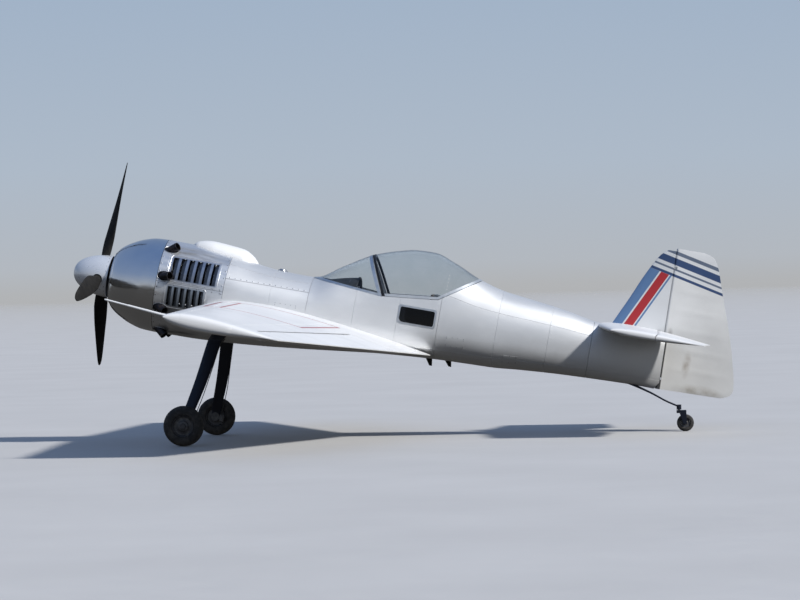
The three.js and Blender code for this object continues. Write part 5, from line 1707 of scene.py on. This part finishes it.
def make_tail_wheel():
    head = level(TAIL_PIVOT_X, 0, 0.252)
    stations = [
        (5.560, -0.150, 0.072, 0.024), (5.700, -0.178, 0.070, 0.024), (5.880, -0.226, 0.062, 0.020),
        (6.040, -0.280, 0.054, 0.018), (head.x - 0.008, head.z + 0.006, 0.050, 0.018),
    ]
    path = smooth_path([(x, 0, z) for x, z, _, _ in stations], 6)
    sizes = smooth_path([(a, b, 0) for _, _, a, b in stations], 6)
    rings = [
        [point + Vector((0, c * size.x / 2, s * size.y / 2)) for c, s in squarish(6, 24)]
        for point, size in zip(path, sizes)
    ]
    spring = cut(loft(rings), body_solid(5.1, BODY_END, -SEAT_GAP))
    collar = tube([level(TAIL_PIVOT_X, 0, z) for z in (0.276, 0.226)], 0.025, 32)
    pin = tube([level(TAIL_PIVOT_X, 0, z) for z in (0.240, 0.194)], 0.010, 32)
    leaf = joined(spring, collar, pin)
    piece("tail_leaf", leaf, "gear", "dark_paint", replaces=["tail_spring"], bevel=0.001)

    wheel = TAIL_WHEEL
    x, radius, w = wheel["x"], wheel["radius"], wheel["width"] / 2
    arm, top, low = w + 0.009, 0.219, 0.190
    crown = block((TAIL_PIVOT_X - 0.026, x + 0.012), (-arm - 0.008, arm + 0.008), (low, top))
    outline = [
        (TAIL_PIVOT_X - 0.004, top - 0.004), (x + 0.012, top - 0.004), (x + 0.016, radius - 0.014),
        (x - 0.016, radius - 0.014),
    ]
    sides = [slab(outline, *span) for span in ((-arm - 0.008, -arm), (arm, arm + 0.008))]
    axle = tube([(x, -arm - 0.008, radius), (x, arm + 0.008, radius)], wheel["axle"], 24)
    pivot_bore = tube([(TAIL_PIVOT_X, 0, low - 0.005), (TAIL_PIVOT_X, 0, top + 0.005)], 0.0105, 32)
    fork = cut(joined(crown, *sides, axle), pivot_bore)
    piece("tail_fork_body", fork, "gear", "dark_paint", "tail_caster", ["tail_fork"], UPRIGHT, bevel=0.0015)

    place, rim = (x, 0, radius), wheel["rim"]
    bore, seat = wheel["axle"] + wheel["play"], rim + wheel["seat"]
    hub = axle_lathe(both_walls([
        (-w + 0.004, bore), (-w + 0.004, 0.020), (-w + 0.010, 0.026), (-w + 0.010, 0.038), (-w + 0.008, rim),
    ]), place, 64)
    piece("tail_rim", hub, "rim", "bare_steel", "tail_roller", ["tail_wheel"], UPRIGHT)
    crown = tyre_crown(wheel, 0.008, (3, 2.6), 24)
    tyre = axle_lathe(both_walls([(-w + 0.010, seat)], crown), place, 72)
    piece("tail_tyre", tyre, "rubber", "tyre_rubber", "tail_roller", ["tail_tire"], UPRIGHT)


# Propeller

def blade_solid(angle):
    a = math.radians(angle)
    radial = Vector((0, -math.sin(a), math.cos(a)))
    tangent = Vector((0, -math.cos(a), -math.sin(a)))
    aft = Vector((1, 0, 0))
    rings = []
    for k in range(65):
        r = mix(BLADE[0][0], BLADE[-1][0], k / 64)
        chord, thick, pitch = (through(BLADE, c, r) for c in (1, 2, 3))
        p = math.radians(pitch)
        line = tangent * math.cos(p) + aft * math.sin(p)
        normal = tangent * -math.sin(p) + aft * math.cos(p)
        section = [(chord / 2 * c, thick / 2 * s) for c, s in circle(1.0, 28)]
        rings.append([radial * r + line * a + normal * b for a, b in section])
    return loft(rings)


def spinner_point(turn, nose, shrink=0.0):
    """The x and radius of the spinner's curve, at a turn between its nose and its base."""
    radius = (SPINNER["radius"] - shrink) * math.sin(turn) ** 0.9
    return mix(SPINNER["base"], nose, math.cos(turn)), radius


def make_propeller():
    tip, wall = SPINNER["tip"], SPINNER["wall"]
    turns = [i / 44 * math.pi / 2 for i in range(45)]
    outer = [spinner_point(t, tip) for t in turns]
    inner = [spinner_point(t, tip + wall * 1.6, wall) for t in turns]
    shell = lathe([*outer, *inner[::-1]], 128)
    holes = [tube([on_circle(0, 0.120, a), on_circle(0, 0.260, a)], 0.052, 48) for a in BLADE_AT]
    piece("spinner_shell", cut(shell, *holes), "spun", "polished_aluminium", "propeller", ["spinner"])
    for i, angle in enumerate(BLADE_AT):
        blade = blade_solid(angle)
        piece(f"blade_{i + 1}", blade, "blade", "blade_black", "propeller", [f"propeller_blade_{i + 1}"])


make_cowl()
cowl_fasteners()
make_stubs()
make_engine()
make_blister()
make_fuselage()
make_window()
make_glasshouse()
make_fixed_knuckles()
make_wings()
wing_rivets()
make_pitot()
make_tail()
make_stabilisers()
make_gear()
make_main_wheels()
make_tail_wheel()
make_propeller()

# Cockpit

PANEL_FACE = ((2.606, 0.0), (2.626, 0.404))
DIAL_ROWS = (
    (0.322, 0.041, (-0.112, 0.0, 0.112)), (0.222, 0.038, (-0.168, -0.056, 0.056, 0.168)),
    (0.134, 0.028, (-0.21, -0.126, -0.042, 0.042, 0.126, 0.21)),
)
SEAT = {"floor": -0.2417, "half": 0.210, "back": ((3.345, -0.130), (3.462, 0.330))}


def on_panel(y, z):
    """A place on the panel's aft face, whose X axis points out of the face."""
    (x0, z0), (x1, z1) = PANEL_FACE
    t = (z - z0) / (z1 - z0)
    tilt = math.atan2(x1 - x0, z1 - z0)
    return Matrix.Translation((mix(x0, x1, t), y, z)) @ Matrix.Rotation(tilt, 4, "Y")


def make_dials():
    bezels, faces, marks = [], [], []
    for z, r, places in DIAL_ROWS:
        ring = [
            (-0.002, r), (0.006, r), (0.009, r - 0.003), (0.009, r - 0.006), (0.003, r - 0.009),
            (-0.002, r - 0.009),
        ]
        face = [(-0.001, 0.0), (0.0025, 0.0), (0.0025, r - 0.0086), (-0.001, r - 0.0086)]
        for i, y in enumerate(places):
            place = on_panel(y, z)
            bezels.append(lathe(ring, 32, loop=True).moved(place))
            faces.append(lathe(face, 32).moved(place))
            for k in range(10):
                turn = Matrix.Rotation(math.radians(-135 + 30 * k), 4, "X")
                tick = block((0.0024, 0.0031), (-0.0008, 0.0008), (r * 0.56, r * 0.72))
                marks.append(tick.moved(place @ turn))
            turn = Matrix.Rotation(math.radians(-120 + 47 * (i + 1) + 900 * z), 4, "X")
            needle = block((0.0032, 0.0042), (-0.0011, 0.0011), (-0.2 * r, r * 0.62))
            marks.append(needle.moved(place @ turn))
    piece("dial_bezels", together(bezels), "cockpit", "cockpit_grey", sharp=40)
    piece("dial_faces", together(faces), "panel", "cockpit_grey")
    piece("dial_marks", together(marks), "white", "cockpit_grey")
    switches = []
    for k in range(8):
        place = on_panel(-0.16 + 0.045 * k, 0.062)
        base = lathe([(-0.002, 0.008), (0.004, 0.008), (0.004, 0.0), (-0.002, 0.0)], 6).moved(place)
        lever = tube([(0.002, 0, 0), (0.020, 0, 0.008 if k % 3 else -0.008)], [0.003, 0.0045], 8).moved(place)
        switches += [base, lever]
    piece("panel_switches", together(switches), "steel", "cockpit_grey")


PANEL_OUTLINE = ((2.590, 0.0), (2.606, 0.0), (2.626, 0.404), (2.610, 0.404))
# The glare shield's roof line: x, height in the middle, height at its edges
SHIELD = ((2.236, 0.334, 0.288), (2.400, 0.372, 0.300), (2.560, 0.412, 0.306), (2.690, 0.436, 0.306))
SHIELD_HALF = 0.400


def shield_arc(x, drop=0.0):
    """Points over the glare shield from starboard to port."""
    crest, edge = through(SHIELD, 1, x), through(SHIELD, 2, x)
    shares = [1 - i / 16 for i in range(33)]
    return [(x, SHIELD_HALF * s, edge - drop + (crest - edge) * (1 - s * s)) for s in shares]


def make_panel():
    """The instrument panel, and over it the glare shield with a padded roll along its rear edge."""
    stations = [mix(SHIELD[0][0], SHIELD[-1][0], k / 16) for k in range(17)]
    inside = body_solid(2.2, 3.6, WALL + 0.0015, step=0.05)
    under = loft([[*shield_arc(x), (x, -SHIELD_HALF, -0.1), (x, SHIELD_HALF, -0.1)] for x in stations])
    board = kept(slab(PANEL_OUTLINE, -0.5, 0.5), under, inside)
    piece("panel_board", board, "panel", "cockpit_grey", replaces=["instrument_panel"], bevel=0.001)
    hood = loft([[*shield_arc(x), *shield_arc(x, 0.006)[::-1]] for x in stations])
    piece("coaming_hood", kept(hood, inside), "coaming", "cockpit_grey")
    roll = [(x + 0.004, y * 0.86, z - 0.004) for x, y, z in shield_arc(stations[-1])]
    pad = kept(tube(roll, 0.013, 16), inside)
    piece("coaming_roll", pad, "coaming", "seat_leather", sharp=50)


# How long the seat's pads are blown up
STUFFING_FRAMES = 20


def rounded_pad(length, width, thick, corner):
    """A flat pad about its middle: X along the length, Y across, Z up."""
    x, y = length / 2 - corner, width / 2 - corner
    rings = []
    for k in range(9):
        a = math.pi * (k / 8 - 0.5)
        up, radius = math.sin(a) * thick / 2, corner - (1 - math.cos(a)) * thick / 2
        outline = [
            *corner_arc(x, y, radius, 0), *corner_arc(-x, y, radius, 90),
            *corner_arc(-x, -y, radius, 180), *corner_arc(x, -y, radius, 270),
        ]
        rings.append([(*point, up) for point in outline])
    return loft(rings)


def stuffed(shape, cap=0.007):
    """The pad blown up as cloth, with no point moved further than the cap."""
    obj = placed("stuffing", to_mesh("stuffing", shape))
    remesh = obj.modifiers.new("remesh", "REMESH")
    remesh.mode = "VOXEL"
    remesh.voxel_size = 0.006
    obj.data = bpy.data.meshes.new_from_object(evaluated(obj))
    obj.modifiers.clear()
    empty = full = shape_of(obj.data)
    cloth = obj.modifiers.new("cloth", "CLOTH")
    cloth.settings.use_pressure = True
    cloth.settings.uniform_pressure_force = 4.0
    cloth.settings.effector_weights.gravity = 0.0
    cloth.point_cache.frame_start, cloth.point_cache.frame_end = 1, STUFFING_FRAMES
    for moment in range(1, STUFFING_FRAMES + 1):
        bpy.context.scene.frame_set(moment)
    full = shape_of(evaluated(obj).data)
    bpy.context.scene.frame_set(1)
    discard(obj)
    points = []
    for p, q in zip(empty.points, full.points):
        step = q - p
        if step.length > cap:
            step = step.normalized() * cap
        points.append(p + step)
    return Shape(points, empty.faces)


def channelled(shape, width, count, depth):
    """Sewn channels across a pad, pressed into both faces."""
    def press(p):
        phase = (p.y / width + 0.5) * count
        nearest = min(abs(phase - round(phase)), 0.5)
        edge = min(1.0, max(0.0, (width / 2 - abs(p.y)) / 0.02))
        dip = depth * math.exp(-(nearest / 0.09) ** 2) * edge
        return Vector((p.x, p.y, p.z - math.copysign(min(dip, abs(p.z) * 0.6), p.z)))
    return Shape([press(p) for p in shape.points], shape.faces)


def back_place(share, lift):
    """A place on the seat's back, at a share of its height, with X up the back and Z out of it."""
    start, up, out = directions(SEAT["back"])
    p = start.lerp(Vector(SEAT["back"][1]), share) + out * lift
    axes = Matrix(((up.x, 0, out.x), (0, 1, 0), (up.y, 0, out.y))).to_4x4()
    axes.translation = (p.x, 0, p.y)
    return axes


def make_seat():
    floor, half = SEAT["floor"], SEAT["half"]
    inside = body_solid(2.2, 3.62, WALL + 0.001, step=0.05)
    width = (-half + 0.012, half - 0.012)
    rear = [(3.428, floor), (3.559, 0.300), (3.540, 0.394), (3.505, 0.400)]
    base = slab([(2.962, floor), (3.428, floor), (3.44, -0.20), (2.962, -0.20)], *width)
    back = slab([(3.400, -0.235), *rear, (3.520, 0.300)], *width)
    cheek = slab([
        (2.962, floor), *rear, (3.485, 0.300), (3.375, -0.100), (3.330, -0.125), (2.985, -0.140),
        (2.962, -0.165),
    ], -half, -half + 0.014)
    shell = kept(joined(base, back, cheek, cheek.mirrored()), inside)
    piece("seat_bucket", shell, "cockpit", "seat_leather", replaces=["pilot_seat"], bevel=0.003)

    squab = channelled(stuffed(rounded_pad(0.345, 0.372, 0.056, 0.045)), 0.372, 5, 0.006)
    squab = squab.moved(Matrix.Translation((3.150, 0, -0.166)))
    cushion = channelled(stuffed(rounded_pad(0.430, 0.360, 0.052, 0.045)), 0.360, 5, 0.006)
    cushion = cushion.moved(back_place(0.50, -0.034))
    rest = stuffed(rounded_pad(0.078, 0.198, 0.044, 0.018), cap=0.004)
    rest = rest.moved(Matrix.Translation((3.478, 0, 0.358)) @ Matrix.Rotation(math.radians(-84), 4, "Y"))
    for name, shape in (("seat_squab", squab), ("seat_cushion", cushion), ("seat_headrest", rest)):
        pad = piece(name, shape, "leather", "seat_leather", sharp=60)
        smooth = pad.modifiers.new("smooth", "SUBSURF")
        smooth.levels = smooth.render_levels = 1


def strap(path, width=0.044, thick=0.003, side=(0, 1, 0)):
    """A flat band along a smooth path, lying flat to a given side direction."""
    points = smooth_path(path, 8)
    corners = ((-1, -1), (1, -1), (1, 1), (-1, 1))
    rings = []
    for k, p in enumerate(points):
        along = (points[min(k + 1, len(points) - 1)] - points[max(k - 1, 0)]).normalized()
        across = (Vector(side) - along * along.dot(Vector(side))).normalized()
        up = along.cross(across)
        rings.append([p + across * (c * width / 2) + up * (s * thick / 2) for c, s in corners])
    return loft(rings)


def make_harness():
    def up(share, lift, y):
        return back_place(share, lift) @ Vector((0, y, 0))

    bands, metal = [], []
    for side in (-1, 1):
        bands.append(strap([
            up(1.06, -0.030, 0.060 * side), up(1.0, -0.002, 0.066 * side), up(0.85, 0.004, 0.074 * side),
            up(0.5, 0.005, 0.072 * side), up(0.22, 0.008, 0.052 * side), up(0.08, 0.016, 0.036 * side),
            (3.285, 0.026 * side, -0.122),
        ]))
        bands.append(strap([
            (3.372, 0.180 * side, -0.150), (3.350, 0.150 * side, -0.128), (3.315, 0.090 * side, -0.124),
            (3.285, 0.030 * side, -0.122),
        ], side=(1, 0, 0)))
        metal.append(strap([up(0.46, 0.0085, 0.072 * side), up(0.40, 0.0085, 0.070 * side)], 0.056, 0.004))
    buckle = tube([(3.285, 0, -0.128), (3.285, 0, -0.112)], [0.030, 0.026], 24)
    piece("harness_straps", together(bands), "webbing", "seat_leather", sharp=50)
    piece("harness_buckle", together([buckle, *metal]), "steel", "seat_leather", bevel=0.001)


def make_controls():
    path = smooth_path([(2.812, 0, 0.030), (2.815, 0, 0.070), (2.819, 0, 0.115), (2.822, 0, 0.150)], 6)
    grip = tube(path, [
        0.013, 0.016, 0.018, 0.019, 0.0185, 0.017, 0.0185, 0.019, 0.018, 0.017, 0.0175, 0.0185, 0.019, 0.018,
        0.0165, 0.017, 0.018, 0.016, 0.010,
    ], 20)
    stick = tube([(2.8004, 0, -0.215), (2.812, 0, 0.040)], 0.0125, 20)
    boot = tube(
        [(2.800, 0, -0.2415 + 0.007 * k) for k in range(8)],
        [0.034, 0.030, 0.033, 0.027, 0.030, 0.023, 0.025, 0.016], 28,
    )
    piece("stick_grip", grip, "rubber", "cockpit_grey", sharp=50)
    piece("stick_column", stick, "steel", "cockpit_grey", replaces=["control_stick"])
    piece("stick_boot", boot, "leather", "seat_leather", sharp=60)

    quadrant = kept(block((2.80, 3.02), (-0.5, -0.322), (-0.030, 0.060)), body_solid(2.2, 3.6, WALL + 0.001))
    piece("throttle_box", quadrant, "cockpit", "cockpit_grey", replaces=["throttle_quadrant"], bevel=0.004)
    for name, x, look, length in (("throttle", 2.87, "panel", 0.085), ("mixture", 2.93, "red", 0.070)):
        lever = tube([(x, -0.337, 0.04), (x - 0.02, -0.337, 0.06 + length)], 0.004, 12)
        knob = ball((x - 0.022, -0.337, 0.07 + length), 0.015)
        piece(f"{name}_lever", lever, "steel", "cockpit_grey")
        piece(f"{name}_knob", knob, look, "cockpit_grey", sharp=60)


def ball(place, radius):
    turns = [math.pi * k / 12 for k in range(13)]
    profile = [(radius * -math.cos(t), radius * math.sin(t)) for t in turns]
    return lathe(profile, 20).moved(Matrix.Translation(place))


def make_pedals():
    """Two rudder pedals on a cross tube that stands on floor brackets."""
    x, z, floor = 2.420, -0.200, SEAT["floor"]
    parts = [tube([(x, -0.22, z), (x, 0.22, z)], 0.011, 24)]
    for side in (-1, 1):
        y = 0.210 * side
        parts.append(block((x - 0.025, x + 0.025), (y - 0.006, y + 0.006), (floor, z + 0.015)))
        y = 0.130 * side
        parts.append(tube([(x, y, z), (x - 0.015, y, z + 0.140)], 0.009, 20))
        plate = [
            (x - 0.002, z + 0.092), (x + 0.006, z + 0.091), (x - 0.022, z + 0.197), (x - 0.030, z + 0.196),
        ]
        parts.append(slab(plate, y - 0.048, y + 0.048))
        for k in range(4):
            low = z + 0.108 + 0.024 * k
            face = x + 0.0065 - 0.27 * (low - z - 0.091)
            parts.append(block((face, face + 0.0035), (y - 0.044, y + 0.044), (low, low + 0.004)))
    piece("pedal_set", joined(*parts), "steel", "bare_steel", replaces=["rudder_pedals"], bevel=0.001)


# Small fittings

# Hatches on both sides: from x, to x, from angle, to angle
HATCHES = ((1.42, 1.74, 196, 214), (1.90, 2.14, 172, 190), (3.70, 3.90, 184, 204), (4.30, 4.46, 206, 226))
HATCH_LIFT = 0.0012
HATCH_EDGE = 0.012


def body_patch(x0, x1, a0, a1):
    """A thin plate that follows the body between two stations and two angles."""
    rings = []
    steps = max(2, round((x1 - x0) / 0.03))
    for k in range(steps + 1):
        x = mix(x0, x1, k / steps)
        angles = [mix(a0, a1, i / 12) for i in range(13)]
        outer = [body_point(x, a, HATCH_LIFT) for a in angles]
        inner = [body_point(x, a, -0.002) for a in reversed(angles)]
        rings.append([*outer, *inner])
    return loft(rings)


def make_hatches():
    plates, spots = [], []
    for x0, x1, a0, a1 in HATCHES:
        plates.append(body_patch(x0, x1, a0, a1))
        for a in (a0 + 0.7, a1 - 0.7):
            spots += body_row(x0 + HATCH_EDGE, x1 - HATCH_EDGE, a, 0.055)
        for x in (x0 + HATCH_EDGE, x1 - HATCH_EDGE):
            spots += body_hoop(x, a0 + 3.5, a1 - 3.5, 0.05)
    piece("side_hatches", both_sides(together(plates)), "silver", "silver_paint")
    lifted = [(p + n * HATCH_LIFT, n) for p, n in spots]
    side_heads("hatch_screws", lifted, "hatch", "fastener", "silver_paint")


def body_rivets():
    """Rows of rivets along the frames and stringers, both sides."""
    spots = []
    for x in (1.385, 1.82, 1.86, 2.205):
        spots += body_hoop(x, 91, 269, 0.040)
    for x in (2.262, 2.70, 2.74, 3.155, 3.195, 3.572):
        spots += body_hoop(x, sill_angle(x) + 2, 269, 0.040)
    for x in (3.628, 4.18, 4.22, 4.72, 4.76, 5.155, 5.205):
        spots += body_hoop(x, 128 if x < 3.9 else 91, 269, 0.040)
    for start, angle in ((3.99, 151.2), (3.99, 148.8), (1.40, 216.8), (1.40, 219.2)):
        spots += body_row(start, 5.15, angle, 0.050)
    spots = [(p, n) for p, n in spots if not in_window(p)]
    side_heads("body_rivets", spots, "body", "silver", "silver_paint")


def sill_angle(x):
    """The angle on the port side where the body meets the canopy's sill."""
    line = SILL if x < SILL[1][0] else SILL_AFT
    t = (x - line[0][0]) / (line[1][0] - line[0][0])
    return angle_at_height(x, mix(line[0][1], line[1][1], t) - 0.012)


def in_window(p):
    """Whether a place on the side lies in the window or its frame."""
    (x0, x1), (z0, z1), rim = SIDE_WINDOW["x"], SIDE_WINDOW["z"], 0.016
    return x0 - rim < p.x < x1 + rim and z0 - rim < p.z < z1 + rim


def make_deck_fittings():
    """The fuel cap on the deck, fasteners along its edges, and the aerials under the belly."""
    cap = lathe([
        (-0.006, 0.0), (-0.006, 0.052), (0.004, 0.052), (0.008, 0.048), (0.008, 0.038), (0.017, 0.034),
        (0.020, 0.030), (0.020, 0.0),
    ], 40)
    slope = math.atan2(through(BODY, 1, 1.80) - through(BODY, 1, 1.97), 0.17)
    turn = Matrix.Rotation(slope, 4, "Y") @ Matrix.Rotation(math.radians(-90), 4, "Y")
    cap = cap.moved(Matrix.Translation(body_point(1.885, 90)) @ turn)
    piece("fuel_cap", cap, "steel", "silver_paint", bevel=0.001)

    stations = [1.40 + 0.06 * k for k in range(14)]
    spots = [body_spot(x, angle_at_height(x, DECK_FLOOR + 0.014)) for x in stations]
    side_heads("deck_fasteners", spots, "deck", "fastener", "silver_paint")

    aerials = []
    for x, height in ((3.545, 0.075), (3.745, 0.060)):
        foot = body_point(x, 270)
        rings = []
        for t in (0.0, 0.15, 0.6, 0.95, 1.0):
            chord, thick = mix(0.070, 0.030, t), mix(0.012, 0.005, t) * (0.4 if t == 1.0 else 1)
            z, shift = foot.z + 0.004 - height * t, 0.030 * t
            rings.append([(x + shift + c * chord / 2, s * thick / 2, z) for c, s in circle(1.0, 20)])
        aerials.append(loft(rings))
    piece("belly_aerials", together(aerials), "blade", "blade_black", sharp=50)


def make_root_bands():
    """Thin strips that cover the joint of wing and body."""
    band = cut(body_solid(1.0, 3.8, -0.0016), body_solid(0.9, 3.9, 0.0004))
    y0, y1 = WING["root_y"] - 0.25, WING["tip_y"]

    def grown(y):
        lead, trail, z, thick = wing_row(y)
        return lead - 0.022, trail + 0.018, z, thick * 1.13

    def row(y):
        return mixed_row(grown(y0), grown(y1), (y - y0) / (y1 - y0))

    outer = surface(row, 0.12, 1.2, WING["incidence"])
    inner = surface(wing_row, 0.06, 1.3, WING["incidence"])
    pair("wing_root_strip", cut(kept(band, outer), inner), "silver", "silver_paint")


def make_brakes():
    """Torque plates, calipers and brake pipes on the gear legs, and the wheels' bolts."""
    hub_x, hub_y, hub_z = MAIN_WHEEL["x"], -MAIN_WHEEL["y"], MAIN_WHEEL["radius"]
    x, _, z = level(hub_x, hub_y, hub_z)
    plate = tube([(x, -1.070, z), (x, -1.0995, z)], 0.046, 32)
    caliper = block((x + 0.052, x + 0.094), (-1.0995, -1.052), (z - 0.038, z + 0.030))
    lug = block((x + 0.010, x + 0.060), (-1.080, -1.070), (z - 0.022, z + 0.016))
    pistons = [
        tube([(x + 0.073, -1.044, z + up), (x + 0.073, -1.056, z + up)], 0.013, 20) for up in (-0.020, 0.012)
    ]
    pair("brake_caliper", joined(plate, caliper, lug, *pistons), "engine", "dark_paint", bevel=0.0012)
    route = [
        (x + 0.073, -1.046, z + 0.020), (x + 0.070, -1.036, z + 0.075),
        (1.400, -0.880, -1.000), (1.416, -0.680, -0.740), (1.428, -0.520, -0.520), (1.440, -0.400, -0.452),
        (1.444, -0.300, -0.425),
    ]
    pair("brake_pipe", tube(smooth_path(route, 8), 0.004, 10), "seal", "dark_paint", sharp=50)

    bolts = []
    for k in range(6):
        a = math.radians(60 * k + 15)
        x, z = hub_x + 0.062 * math.cos(a), hub_z + 0.062 * math.sin(a)
        for low, high in ((-0.0375, -0.0270), (0.0270, 0.0375)):
            bolts.append(tube([(x, hub_y + low, z), (x, hub_y + high, z)], 0.0065, 6))
    cap = tube([(hub_x, hub_y - 0.062, hub_z), (hub_x, hub_y - 0.050, hub_z)], [0.024, 0.032], 32)
    valve = tube([
        (hub_x - 0.058, hub_y - 0.036, hub_z + 0.058), (hub_x - 0.064, hub_y - 0.055, hub_z + 0.064),
    ], 0.0035, 10)
    shape = together([*bolts, cap, valve])
    pair("wheel_bolts", shape, "rim", "bare_steel", ("left_wheel", "right_wheel"), place=UPRIGHT)


def make_spinner_screws():
    """A ring of screws near the spinner's base, apart from where a blade passes."""
    x, r = spinner_point(0.965 * math.pi / 2, SPINNER["tip"])
    spots = []
    for a in range(0, 360, 15):
        if min(abs((a - b + 180) % 360 - 180) for b in BLADE_AT) > 16:
            spots.append((on_circle(x, r, a), on_circle(0, 1, a)))
    piece("spinner_screws", heads(spots, "spinner"), "fastener", "polished_aluminium", "propeller")


make_dials()
make_panel()
make_seat()
make_harness()
make_controls()
make_pedals()
make_hatches()
body_rivets()
make_deck_fittings()
make_root_bands()
make_brakes()
make_spinner_screws()

# Finishes of the frame's own parts that stay in sight
NODE_LOOKS = {
    "firewall": "steel", "elevator_torque_tube": "steel", "propeller_hub": "engine",
    "cockpit_floor": "cockpit",
}
for node, look in NODE_LOOKS.items():
    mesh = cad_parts[node].data
    mesh.materials.clear()
    mesh.materials.append(LOOKS[look])


# Camera, light and floor

EYE = Vector((2.751, -32.782, 1.557))
# The photo's own lens, made longer until the object fills the frame
ZOOM = 2.75
LENS = 51.7 * ZOOM
ROLL = math.radians(1.334)


def make_camera():
    low, high = cad_bounds
    target = (low + high) / 2 + Vector((0.0, 0.0, -0.05))
    data = bpy.data.cameras.new("camera")
    camera = placed("camera", data)
    look = (target - EYE).to_track_quat("-Z", "Y").to_matrix().to_4x4()
    camera.matrix_world = Matrix.Translation(EYE) @ look @ Matrix.Rotation(-ROLL, 4, "Z")
    data.lens = LENS
    data.sensor_width = 36.0
    data.clip_start, data.clip_end = 0.1, 2000.0
    bpy.context.scene.camera = camera


# Ground shadows fall this far forward and to starboard for each metre of height
SHADOW = (-1.157, 0.643)
KEY = {"strength": 4.2, "width": math.radians(4.0), "colour": (1.0, 0.975, 0.935)}


def make_lights():
    """A warm sun over the port quarter, and a surround that is bright at the horizon and dark below it."""
    data = bpy.data.lights.new("key", "SUN")
    data.energy, data.angle, data.color = KEY["strength"], KEY["width"], KEY["colour"]
    key = placed("key", data)
    key.rotation_euler = Vector((*SHADOW, -1.0)).to_track_quat("-Z", "Y").to_euler()
    make_world()
    bpy.context.scene.view_settings.view_transform = "Standard"


# Surround from straight down to straight up: share of the way, colour
SKY = (
    (0.0, (0.09, 0.086, 0.082)), (0.47, (0.12, 0.116, 0.112)), (0.50, (0.72, 0.76, 0.81)),
    (0.55, (0.58, 0.65, 0.76)), (0.70, (0.33, 0.45, 0.68)), (1.0, (0.20, 0.33, 0.62)),
)
SKY_STRENGTH = 0.62
# What the camera sees behind the object, from below to above
BACKDROP = (
    (0.0, (0.42, 0.42, 0.42)), (0.499, (0.44, 0.445, 0.45)), (0.503, (0.45, 0.48, 0.52)),
    (0.52, (0.42, 0.49, 0.58)), (0.56, (0.33, 0.43, 0.57)),
)


def make_world():
    world = bpy.data.worlds.new("studio")
    bpy.context.scene.world = world
    world.use_nodes = True
    tree = world.node_tree
    place = add_node(tree, "ShaderNodeTexCoord").outputs["Generated"]
    height = add_node(tree, "ShaderNodeSeparateXYZ", {"Vector": place}).outputs["Z"]
    share = add_node(tree, "ShaderNodeMapRange", {"Value": height, "From Min": -1.0}).outputs["Result"]

    def ramp(stops, strength):
        made = add_node(tree, "ShaderNodeValToRGB", {"Fac": share})
        elements = made.color_ramp.elements
        for element, (position, colour) in zip((elements[0], elements[1]), (stops[0], stops[-1])):
            element.position, element.color = position, (*colour, 1)
        for position, colour in stops[1:-1]:
            elements.new(position).color = (*colour, 1)
        inputs = {"Color": made.outputs["Color"], "Strength": strength}
        return add_node(tree, "ShaderNodeBackground", inputs).outputs["Background"]

    seen = add_node(tree, "ShaderNodeLightPath").outputs["Is Camera Ray"]
    surround, backdrop = ramp(SKY, SKY_STRENGTH), ramp(BACKDROP, 1.0)
    mixer = add_node(tree, "ShaderNodeMixShader", {0: seen, 1: surround, 2: backdrop})
    tree.links.new(mixer.outputs["Shader"], tree.nodes["World Output"].inputs["Surface"])


def make_floor():
    """A plain pale floor that fades into the backdrop far behind the object."""
    rings = [[(r * c, r * s, 0.0) for c, s in circle(1.0, 96)] for r in (0.02, 4, 12, 30, 90, 300, 900)]
    floor = placed("floor", to_mesh("floor", loft(rings, capped=False)))
    look = Look("pale_floor")
    look.colour(look.mottled((0.50, 0.495, 0.49), (0.54, 0.535, 0.53), 0.5, 5))
    look.uneven(0.7, 0.85, 4, 4)
    look.bump((look.noise(120, 4), 0.15, 0.002))
    fade = look.span(look.length(look.place), 1.0, 0.0, 60.0, 600.0)
    look.tree.links.new(fade, look.shader.inputs["Alpha"])
    floor.data.materials.append(look.material)
    # The surround's dark lower half lights the object from below instead of this pale floor
    floor.visible_diffuse = floor.visible_glossy = False


make_camera()
make_lights()
make_floor()

bpy.context.view_layer.update()
